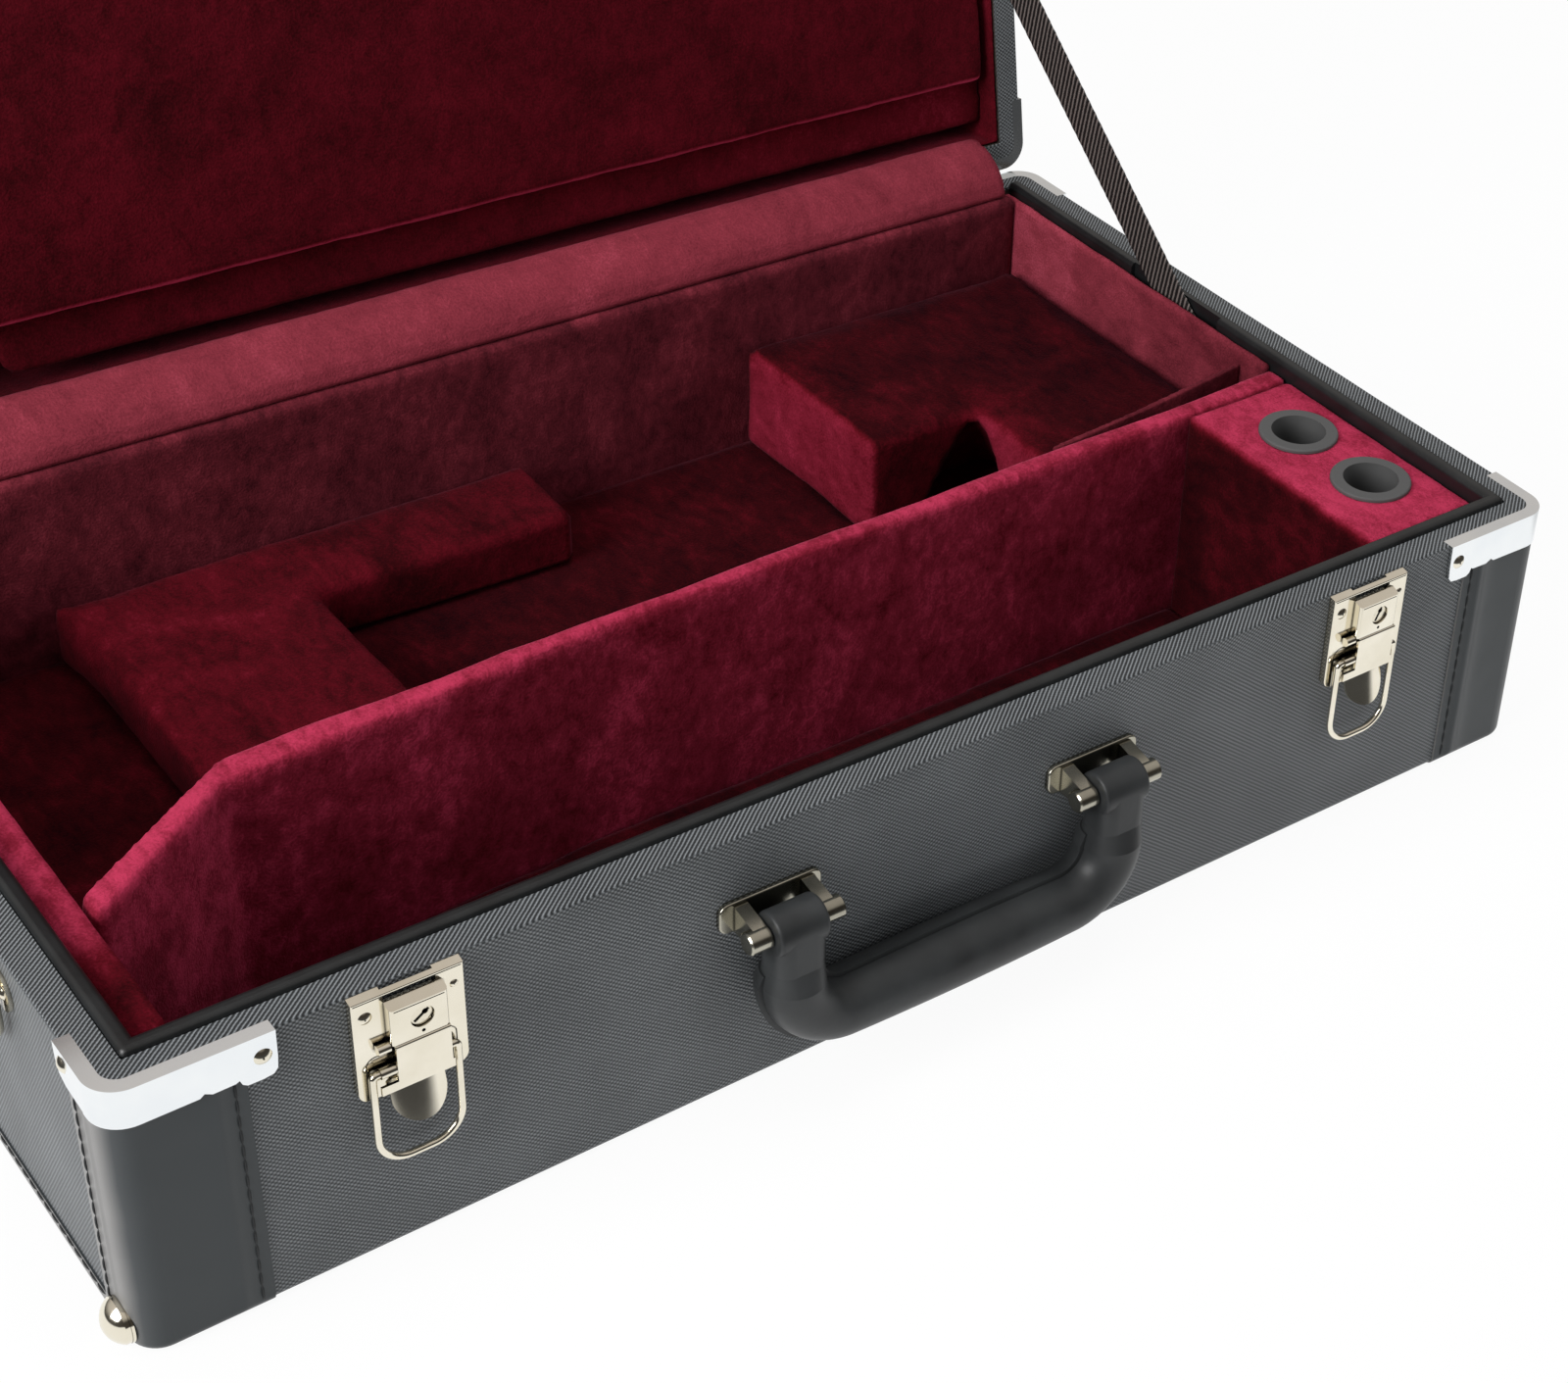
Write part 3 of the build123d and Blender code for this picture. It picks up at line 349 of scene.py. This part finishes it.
bindings = [(at(x, 26, 7.4), at(x, 324, 7.4), Vector((out, 0, 0))) for x, out in ((-0.75, -1), (600.75, 1))]
sew("base_seams", patch_seams(4, 98) + bindings, thread, "base")
sew("lid_seams", patch_seams(129, 159.8), thread, "lid", on_lid)


# ---- Chrome corner guards and rivets ---------------------------------------------------
# Pressed steel guards with bright chrome plate wrap each corner of the two rims, held by
# domed rivets.

haze = bpy.data.node_groups.new("polish_haze", "ShaderNodeTree")
given, back = sockets(haze, (("Place", "Vector"), ("Least", "Float"), ("Spread", "Float")),
                      ("Roughness", "Smear"))
smears = put(haze, "TexNoise", {"Vector": given["Place"], "Scale": 60.0, "Detail": 4.0}).outputs["Fac"]
haze.links.new(sums(haze, "MULTIPLY_ADD", smears, given["Spread"], given["Least"]), back["Roughness"])
haze.links.new(smears, back["Smear"])


def plated(name, dark, bright, least, spread):
    """Polished plate: its two tints, and how dull it is. Grooves and corners are darkened by painted shade.
    """
    tree, spot, facing = begin(name)
    smear = put(tree, "Group", {"Place": spot, "Least": least, "Spread": spread}, node_tree=haze)
    shade = ramp(tree, smear.outputs["Smear"], [(0.3, dark), (0.7, bright)])
    # Painted shade: an ambient occlusion mask darkens the colour in grooves, folds and corners.
    open_to = put(tree, "AmbientOcclusion", {"Distance": 0.0016}, samples=8).outputs["AO"]
    crevice_shade = ramp(tree, open_to, [(0.35, colour(36, 32, 24)), (0.85, (1.0, 1.0, 1.0, 1.0))])
    shade = put(tree, "Mix", {0: 1.0, 6: shade, 7: crevice_shade}, data_type="RGBA",
                blend_type="MULTIPLY").outputs[2]
    return finish(name, shade, smear.outputs["Smear"], 0.000012, smear.outputs["Roughness"], Metallic=1.0)


chrome = plated("chrome_plate", colour(238, 242, 245), colour(246, 249, 250), 0.08, 0.1)
wear(chrome, "base_corner_guards", "lid_corner_guards")

nickel = plated("nickel_plate", colour(230, 223, 204), colour(242, 236, 220), 0.06, 0.12)
wear(nickel, "base_rivets", "lid_rivets", "base_feet", "lid_feet")


# ---- Inner lip -------------------------------------------------------------------------
# A board covered in black vinyl stands inside the walls and rises above the rim, so that the
# lid closes over it.

tree, spot, facing = begin("black_lip_vinyl")
pores = put(tree, "TexNoise", {"Vector": spot, "Scale": 900.0, "Detail": 3.0})
pulls = put(tree, "TexNoise", {"Vector": spot, "Scale": 60.0, "Detail": 3.0})
height = sums(tree, "MULTIPLY_ADD", pulls.outputs["Fac"], 4.0, pores.outputs["Fac"])
shade = ramp(tree, pulls.outputs["Fac"], [(0.3, colour(16, 17, 18)), (0.7, colour(27, 29, 30))])
wear(finish("black_lip_vinyl", shade, height, 0.00006, Roughness=0.36), "base_inner_lip")


# ---- Plush blocks, boards and linings --------------------------------------------------
# Every board and foam block inside is wrapped in burgundy short-pile plush. The pieces are lit
# and shaded copies of one plush, each with its own lightness, and faces are painted lighter or
# darker by the way they turn: painted light, shade and sheen for how the pile catches the light.

pile = bpy.data.node_groups.new("pile_mottle", "ShaderNodeTree")
given, back = sockets(pile, (("Place", "Vector"),), ("Mottle", "Fibre"))
broad = put(pile, "TexNoise", {"Vector": given["Place"], "Scale": 34.0, "Detail": 3.0, "Distortion": 0.8})
stroked = put(pile, "Mapping", {"Vector": given["Place"], "Rotation": (0.5, 0.3, 0.6),
                                "Scale": (230.0, 105.0, 150.0)}).outputs[0]
strokes = put(pile, "TexNoise", {
    "Vector": stroked, "Scale": 1.0, "Detail": 3.0, "Roughness": 0.55, "Distortion": 0.5})
fine = put(pile, "TexNoise", {"Vector": given["Place"], "Scale": 1000.0, "Detail": 2.0})
pile.links.new(sums(pile, "MULTIPLY_ADD", broad.outputs["Fac"], 0.55,
                    sums(pile, "MULTIPLY", strokes.outputs["Fac"], 0.45)), back["Mottle"])
pile.links.new(fine.outputs["Fac"], back["Fibre"])


RICH = [colour(*c) for c in ((20, 2, 5), (52, 6, 11), (88, 12, 24), (128, 30, 50), (178, 52, 82))]
DUSTY = [colour(*c) for c in ((30, 8, 11), (62, 19, 26), (98, 33, 43), (134, 50, 63), (172, 72, 90))]


SHEEN_PINK = (1.0, 0.25, 0.38, 1.0)


def plush(name, level, top=0.0, front=0.0, left=0.0, spread=1.1, shades=RICH, tone_along=None,
          sheen=0.06):
    """Burgundy plush. level is how light it is painted all over; top, front and left are how
    much lighter faces turned up, to the front and to the left are painted, as painted light and
    sheen. tone_along makes it lighter or darker along one way: the way, where that starts and
    ends, and by how much."""
    tree, spot, facing = begin(name)
    nap = put(tree, "Group", {"Place": spot}, node_tree=pile)
    # Painted light and sheen: faces are lighter or darker by the way they turn.
    painted_facing_light = vectors(tree, "DOT_PRODUCT", facing, Vector((-left, -front, top)), out=1)
    tone = sums(tree, "MULTIPLY_ADD", sums(tree, "SUBTRACT", nap.outputs["Mottle"], 0.5), spread,
                sums(tree, "ADD", painted_facing_light, level))
    tone = sums(tree, "MULTIPLY_ADD", sums(tree, "SUBTRACT", nap.outputs["Fibre"], 0.5), 0.35, tone)
    if tone_along:
        way, start, end, more = tone_along
        along = vectors(tree, "DOT_PRODUCT", spot, Vector(way), out=1)
        lighter = put(tree, "MapRange", {"Value": along, "From Min": start, "From Max": end,
                                         "To Min": 0.0, "To Max": more}).outputs[0]
        tone = sums(tree, "ADD", tone, lighter)
    shade = ramp(tree, tone, [(i / 4, shades[i]) for i in range(5)])
    return finish(name, shade, nap.outputs["Fibre"], 0.0004, Roughness=0.95, Sheen_Weight=sheen,
                  Sheen_Roughness=0.35, Sheen_Tint=SHEEN_PINK, Specular_IOR_Level=0.05)


lid_plush = plush("plush_lid", 0.36, spread=0.6, tone_along=((1, 0, 0), -0.05, 0.25, 0.1))
# The flap gets a painted highlight along its lower edge, over its last 3 mm.
flap_low = SWING @ Vector((0, 1, 0))
flap_reach = max(v.co.dot(flap_low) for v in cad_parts["lid_flap"].data.vertices)
flap_plush = plush("plush_flap", 0.36, spread=0.6,
                   tone_along=(flap_low, flap_reach - 0.003, flap_reach - 0.001, 0.8))
floor_plush = plush("plush_floor", 0.2, spread=0.9)
wall_plush = plush("plush_walls", 0.45, shades=DUSTY)
side_plush = plush("plush_left_lining", 0.42, top=-0.02, tone_along=((0, 1, 0), -0.118, -0.098, 0.42))
pink_plush = plush("plush_pink", 0.7, spread=0.55, shades=DUSTY)
end_plush = plush("plush_right_lining", 0.56, spread=0.8, shades=DUSTY,
                  tone_along=((0, 1, 0), 0.02, 0.12, 0.2))
left_plush = plush("plush_left_block", 0.36, top=0.06, front=0.06, spread=0.9,
                   tone_along=((1, 0, 0), -0.13, -0.08, -0.08))
right_plush = plush("plush_right_block", 0.2, front=0.2, left=0.46, spread=0.9)
# The divider's faces are painted lighter or darker by the way they turn, and lighter at its slanted left
# end: painted light and sheen.
divider_plush = plush("plush_divider", 0.7, top=0.16, left=-0.12, spread=1.2,
                      tone_along=((-1, 0, 0), 0.203, 0.208, 0.05), sheen=0.22)
rest_plush = plush("plush_mouthpiece_rest", 0.42, top=0.5, left=-0.2, spread=0.9)


def wrap(node, cell, uneven, slack=0.0):
    """The shape of a board or block as its plush cover takes it: even small facets, soft at
    the edges and slightly uneven. slack draws it in first, to leave room for stuffing."""
    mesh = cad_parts[node].data.copy()
    mesh.name = node + "_plush"
    mesh.materials.clear()
    cover = bpy.data.objects.new(node + "_plush", mesh)
    scene.collection.objects.link(cover)
    bpy.context.view_layer.objects.active = cover
    facets = cover.modifiers.new("facets", "REMESH")
    facets.mode, facets.voxel_size, facets.use_smooth_shade = "VOXEL", cell, True
    bpy.ops.object.modifier_apply(modifier=facets.name)
    for v, n in [(v, v.normal.copy()) for v in mesh.vertices]:
        ruffle = noise.noise(v.co * 45.0) + 0.4 * noise.noise(v.co * 190.0 + Vector((7, 3, 1)))
        v.co += n * (uneven * ruffle - slack)
    return cover


def dressed(cover, node, material, body):
    """The cover takes the place of its plain solid, on the body that carries it."""
    cover.data.materials.append(material)
    for face in cover.data.polygons:
        face.use_smooth = True
    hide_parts(node)
    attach(cover, body)
    return cover


# The lining of the lid is drawn in a little, so that it passes the lip of the base.
LID_ROOM = 0.0005

# boards: node, facet size, unevenness, material, body, fill of those that are foam
for node, cell, uneven, material, body, fill in (
        ("main_floor_pad", 0.004, 0.0005, floor_plush, "base", 0.9),
        ("tray_floor_pad", 0.004, 0.0004, floor_plush, "base", 0.9),
        ("mouthpiece_block", 0.0022, 0.0003, rest_plush, "base", 1.0),
        ("divider", 0.0028, 0.0003, divider_plush, "base", None),
        ("lining_front", 0.0016, 0.0002, wall_plush, "base", None),
        ("lining_left", 0.003, 0.0003, side_plush, "base", None),
        ("lining_rear", 0.003, 0.0003, wall_plush, "base", None),
        ("lining_right", 0.0018, 0.0006, end_plush, "base", None),
        ("pocket_flap", 0.0008, 0.0003, wall_plush, "base", None),
        ("lid_lining", 0.0011, 0.0002, lid_plush, "lid", None),
        ("flap_tape", 0.0005, 0.0001, lid_plush, "lid", None),
        ("lid_ceiling_pad", 0.0022, 0.0003, lid_plush, "lid", 0.9),
        ("lid_ledge", 0.0022, 0.0003, lid_plush, "lid", None),
        ("lid_flap", 0.0022, 0.0006, flap_plush, "lid_flap", 0.8)):
    room = LID_ROOM if node == "lid_lining" else 0.0
    dressed(wrap(node, cell, uneven, slack=room), node, material, body)

# the wall lining of the lid is glued down right up to the rim
RIM_EDGE, RIM_STRETCH = 0.001, 0.0019
rim_side = SWING @ Vector((0, 0, -1))
rim_reach = on_lid(at(300, 175, 117)).dot(rim_side)
for v in bpy.data.objects["lid_lining_plush"].data.vertices:
    if v.co.dot(rim_side) > rim_reach - RIM_EDGE:
        v.co += rim_side * RIM_STRETCH


def stuff(cover, reach, steps=20):
    """Foam swells against its cover: cloth under pressure, held to a small reach."""
    before = [v.co.copy() for v in cover.data.vertices]
    bpy.context.view_layer.objects.active = cover
    cloth = cover.modifiers.new("cloth", "CLOTH")
    cloth.settings.use_pressure = True
    cloth.settings.uniform_pressure_force = 4.0
    cloth.settings.effector_weights.gravity = 0.0
    cloth.point_cache.frame_start, cloth.point_cache.frame_end = 1, steps
    for step in range(1, steps + 1):
        scene.frame_set(step)
    bpy.ops.object.modifier_apply(modifier=cloth.name)
    scene.frame_set(1)
    for v, old in zip(cover.data.vertices, before):
        move = v.co - old
        v.co = old + move * min(1.0, reach / max(move.length, 1e-9))
    return cover


# foam blocks that hold the trumpet, stuffed tight in their covers
BLOCK_FACET, BLOCK_UNEVEN, BLOCK_ROOM, BLOCK_SWELL = 0.004, 0.0004, 0.0012, 0.002
for node, material in (("left_support_block", left_plush), ("right_support_block", right_plush)):
    cover = wrap(node, BLOCK_FACET, BLOCK_UNEVEN, slack=BLOCK_ROOM)
    dressed(stuff(cover, BLOCK_SWELL), node, material, "base")


# ---- Strip over the hinge --------------------------------------------------------------
# A plush strip bridges the gap between the base and the lid. It is sewn down along both edges
# and bows forward between them.

def ribbon(name, rows, material):
    """A closed band from rows of points, each row once round the band's cross-section."""
    points = [p for row in rows for p in row]
    return made(name, points, joined_up(len(rows), len(rows[0])), material, None)


# in millimetres and degrees; the seams are shares of the way from the lower to the upper edge
BOW_Y, BOW_Z, BOW_DEEP, BOW_HIGH = 354.2, 111.4, 24.0, 20.6
BOW_START, BOW_SWEEP = 172, 92
STRIP_LEFT, STRIP_LONG, STRIP_HALF_THICK = 23, 550, 1.25
STRIP_ROWS, STRIP_STEPS = 220, 22
STRIP_SEAMS, SEAM_WIDE, SEAM_DEEP = (0.12, 0.78), 0.02, 0.9


def bow(share):
    """The middle of the strip's thickness, from its lower edge to its upper edge, and the way
    out of its front."""
    turn = math.radians(BOW_START - BOW_SWEEP * share)
    out = Vector((0, math.cos(turn) * 0.9, math.sin(turn) * 0.55))
    middle = Vector((0, BOW_Y + BOW_DEEP * math.cos(turn), BOW_Z + BOW_HIGH * math.sin(turn)))
    return middle, out.normalized()


def strip_row(x):
    """Once round the strip at x: along its front, then back along its rear."""
    front, rear = [], []
    for i in range(STRIP_STEPS + 1):
        share = i / STRIP_STEPS
        middle, out = bow(share)
        middle.x = x
        sunk = SEAM_DEEP * sum(math.exp(-((share - seam) / SEAM_WIDE) ** 2) for seam in STRIP_SEAMS)
        small = noise.noise(Vector((x / 7, share * 9, 2.0)))
        large = noise.noise(Vector((x / 40, share * 3, 5.0)))
        pucker = 0.25 * small + 0.35 * large
        thick = STRIP_HALF_THICK * min(1.0, 0.35 + 6 * min(share, 1 - share))
        front.append(at(*(middle + out * (thick + pucker - sunk))))
        rear.append(at(*(middle - out * thick)))
    return front + rear[::-1]


rows = [strip_row(STRIP_LEFT + STRIP_LONG * i / STRIP_ROWS) for i in range(STRIP_ROWS + 1)]
strip = ribbon("hinge_strip_plush", rows, pink_plush)
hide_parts("hinge_strip")
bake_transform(strip)


# ---- Mouthpiece sleeves ----------------------------------------------------------------
# Two black moulded tubes with broad flanges stand in the block at the right end. Each holds a
# mouthpiece upright, and the flange rests on the plush.

tree, spot, facing = begin("sleeve_plastic")
scuff = put(tree, "TexNoise", {"Vector": spot, "Scale": 300.0, "Detail": 4.0}).outputs["Fac"]
upward = put(tree, "SeparateXYZ", {0: put(tree, "NewGeometry").outputs["True Normal"]}).outputs[2]
# Faces turned up are painted grey, a painted highlight of the light from above; the rest stays near black.
tone = sums(tree, "MULTIPLY_ADD", scuff, 0.3, sums(tree, "MULTIPLY", upward, 0.7))
shade = ramp(tree, tone, [(0.0, colour(1, 1, 1)), (0.3, colour(4, 4, 5)), (1.0, colour(84, 88, 89))])
dull = sums(tree, "MULTIPLY_ADD", upward, 0.3, 0.2)
wear(finish("sleeve_plastic", shade, scuff, 0.00003, dull, Specular_IOR_Level=0.06), "mouthpiece_sleeves")


# ---- Draw latches ----------------------------------------------------------------------
# Nickel-plated draw latches with key locks are riveted to the front. The wire bail hangs loose
# and hooks over the lid's strike. The slots of the key barrels are painted dark inside, a painted shade.

wear(nickel, "latch_rivets", "latch_backplate_left", "latch_backplate_right", "lock_body_left",
     "lock_body_right", "latch_lever_left", "latch_lever_right", "latch_bail_left",
     "latch_bail_right", "strikes")

KEY_FACE = at(0, -6.3, 0).y
MM_PER_METRE = 1000.0
tree, spot, facing = begin("key_nickel")
# Painted shade: deeper than the barrel's face the colour turns dark and stops being metal; a fine noise
# roughens where it starts.
depth = sums(tree, "SUBTRACT", put(tree, "SeparateXYZ", {0: spot}).outputs[1], KEY_FACE)
key_speckle = put(tree, "TexNoise", {"Vector": spot, "Scale": 500.0, "Detail": 2.0}).outputs["Fac"]
depth = sums(tree, "MULTIPLY_ADD", key_speckle, 0.0004, depth)
depth = sums(tree, "MULTIPLY", depth, MM_PER_METRE)
shade = ramp(tree, depth, [(0.25, colour(232, 225, 206)), (0.6, colour(10, 9, 8))])
metal = ramp(tree, depth, [(0.3, (1.0, 1.0, 1.0, 1.0)), (0.6, (0.0, 0.0, 0.0, 1.0))])
key_nickel = finish("key_nickel", shade, key_speckle, 0.00001, metal=metal, Roughness=0.2)
wear(key_nickel, "key_barrel_left", "key_barrel_right")


# ---- Carrying handle -------------------------------------------------------------------
# The grip is moulded in dark rubbery plastic and swings on steel pins between the lugs of two
# cast brackets, which are duller than the latches.

tree, spot, facing = begin("grip_rubber")
grain = put(tree, "TexNoise", {"Vector": spot, "Scale": 700.0, "Detail": 3.0})
rubs = put(tree, "TexNoise", {"Vector": spot, "Scale": 40.0, "Detail": 4.0})
shade = ramp(tree, rubs.outputs["Fac"], [(0.3, colour(34, 35, 36)), (0.7, colour(52, 54, 55))])
dull = sums(tree, "MULTIPLY_ADD", rubs.outputs["Fac"], 0.2, 0.34)
grip_rubber = finish("grip_rubber", shade, grain.outputs["Fac"], 0.00004, dull, Specular_IOR_Level=0.35)
wear(grip_rubber, "handle_grip")
cast = plated("cast_nickel", colour(150, 147, 134), colour(186, 182, 168), 0.1, 0.2)
wear(cast, "handle_bracket_left", "handle_bracket_right")
wear(nickel, "handle_pins")


# ---- Shoulder strap rings and hinges ---------------------------------------------------
# A wire ring hangs in a riveted clip on each end, for the hooks of a shoulder strap. Two butt
# hinges with pins join the lid at the rear.

wear(nickel, "ring_brackets", "ring_rivets", "ring_left", "ring_right", "hinge_base_leaves",
     "hinge_lid_leaves", "hinge_pins")


# ---- Stay strap ------------------------------------------------------------------------
# A black webbing strap at the right end stops the lid. It comes out between the lip and the
# lining, and its weave shows as slanting ribs.

RIBS_PER_METRE = 340
tree, spot, facing = begin("black_webbing")
lengthwise = vectors(tree, "DOT_PRODUCT", spot, Vector((0, 0.782, 0.623)), out=1)
sideways = vectors(tree, "DOT_PRODUCT", spot, Vector((0, 0.623, -0.782)), out=1)
slant = sums(tree, "MULTIPLY_ADD", sideways, 0.55, lengthwise)
cord = sums(tree, "SINE", sums(tree, "MULTIPLY", slant, math.tau * RIBS_PER_METRE))
cord = sums(tree, "MULTIPLY_ADD", cord, 0.5, 0.5)
fray = put(tree, "TexNoise", {"Vector": spot, "Scale": 900.0, "Detail": 3.0}).outputs["Fac"]
height = sums(tree, "MULTIPLY_ADD", fray, 0.3, cord)
# The lighter rib crests are a painted highlight; the dark grooves are the black yarn.
shade = ramp(tree, height, [
    (0.3, colour(4, 4, 4)), (0.7, colour(30, 27, 25)), (1.0, colour(112, 104, 100))])
webbing = finish("black_webbing", shade, height, 0.0005, Roughness=0.6)

foot, head = at(582.85, 205.1, 99.9), at(585.45, 377.3, 237.1)
run = (head - foot).normalized()
wide = run.cross(Vector((1, 0, 0))).normalized()
outward = wide.cross(run)
HALF_WIDE, HALF_THICK, RIPPLE = 0.0099, 0.00054, 0.00012
STRAP_ROWS, STRAP_ROUND = 110, 28
rows = []
for i in range(STRAP_ROWS + 1):
    middle = foot.lerp(head, i / STRAP_ROWS)
    row = []
    for j in range(STRAP_ROUND):
        turn = j * math.tau / STRAP_ROUND
        across = math.copysign(abs(math.cos(turn)) ** 0.35, math.cos(turn))
        through = math.copysign(abs(math.sin(turn)) ** 0.7, math.sin(turn))
        ripple = RIPPLE * math.sin(i * 2.1 + across * 3.0)
        row.append(middle + wide * (across * HALF_WIDE) + outward * (through * HALF_THICK + ripple))
    rows.append(row)
strap = ribbon("stay_strap_webbing", rows, webbing)
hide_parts("stay_strap")
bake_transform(strap)


# ---- Studio ----------------------------------------------------------------------------
# A pale floor, a large soft light from the left, one overhead and a weak one from the right.
# Polished metal mirrors a white sheet near the case, a dark room beyond it, and the left light.

tree, spot, facing = begin("pale_floor")
path = put(tree, "LightPath")
seen, mirrored = path.outputs["Is Camera Ray"], path.outputs["Is Glossy Ray"]
paper = put(tree, "TexNoise", {"Vector": spot, "Scale": 40.0, "Detail": 3.0})
shade = ramp(tree, paper.outputs["Fac"], [(0.3, (0.86, 0.86, 0.86, 1.0)), (0.7, (0.9, 0.9, 0.9, 1.0))])
surface = put(tree, "BsdfDiffuse", {"Color": shade})
x, y = [sums(tree, "ABSOLUTE", way) for way in put(tree, "SeparateXYZ", {0: spot}).outputs[:2]]
half_long, half_deep = 0.3, 0.175
far = sums(tree, "MAXIMUM", sums(tree, "SUBTRACT", x, half_long), sums(tree, "SUBTRACT", y, half_deep))
sheet_end = ramp(tree, far, [(0.15, (0.98, 0.98, 0.98, 1.0)), (0.24, (0.06, 0.06, 0.06, 1.0))])
tint = put(tree, "Mix", {0: mirrored, 6: (1.0, 1.0, 1.0, 1.0), 7: sheet_end}, data_type="RGBA").outputs[2]
glow = put(tree, "Emission", {"Color": tint, "Strength": 1.0})
share = sums(tree, "MAXIMUM", sums(tree, "MULTIPLY", seen, 0.94), mirrored)
mixed = put(tree, "MixShader", {0: share, 1: surface.outputs[0], 2: glow.outputs[0]})
put(tree, "OutputMaterial", {"Surface": mixed.outputs[0]})
half, below = 12.0, -0.0002
corners = [(-half, -half, below), (half, -half, below), (half, half, below), (-half, half, below)]
floor = made("floor", corners, [(0, 1, 2, 3)], bpy.data.materials["pale_floor"], None)


def softbox(name, place, target, size, watts, mirrored=True):
    """A square area light aimed at a point. mirrored says whether polished metal shows it."""
    lamp = bpy.data.lights.new(name, "AREA")
    lamp.shape, lamp.size, lamp.energy = "SQUARE", size, watts
    box = bpy.data.objects.new(name, lamp)
    box.location = place
    box.rotation_euler = (Vector(target) - Vector(place)).to_track_quat("-Z", "Y").to_euler()
    box.visible_glossy = mirrored
    scene.collection.objects.link(box)


softbox("left_light", (-1.9, -0.3, 1.1), (0.0, 0.0, 0.1), 1.2, 44.0)
softbox("top_light", (0.1, 0.1, 2.2), (0.0, 0.0, 0.1), 1.4, 22.0, mirrored=False)
softbox("front_light", (1.7, -1.6, 1.0), (0.1, -0.1, 0.1), 1.0, 9.0, mirrored=False)

world = bpy.data.worlds.new("studio")
world.use_nodes = True
scene.world = world
tree = world.node_tree
tree.nodes.clear()
path = put(tree, "LightPath")
seen, mirrored = path.outputs["Is Camera Ray"], path.outputs["Is Glossy Ray"]
strength = put(tree, "Mix", {0: sums(tree, "MAXIMUM", seen, mirrored), 2: 0.3, 3: 1.0}).outputs[0]
x, y, z = put(tree, "SeparateXYZ", {0: put(tree, "TexCoord").outputs["Generated"]}).outputs[:3]
walls = ramp(tree, sums(tree, "MULTIPLY_ADD", y, 0.25, z), [
    (0.2, (0.05, 0.045, 0.04, 1.0)), (0.5, (0.5, 0.47, 0.44, 1.0)), (0.85, (0.6, 0.56, 0.53, 1.0))])
tint = put(tree, "Mix", {0: mirrored, 6: (1.0, 1.0, 1.0, 1.0), 7: walls}, data_type="RGBA").outputs[2]
sky = put(tree, "Background", {"Color": tint, "Strength": strength})
put(tree, "OutputWorld", {"Surface": sky.outputs[0]})
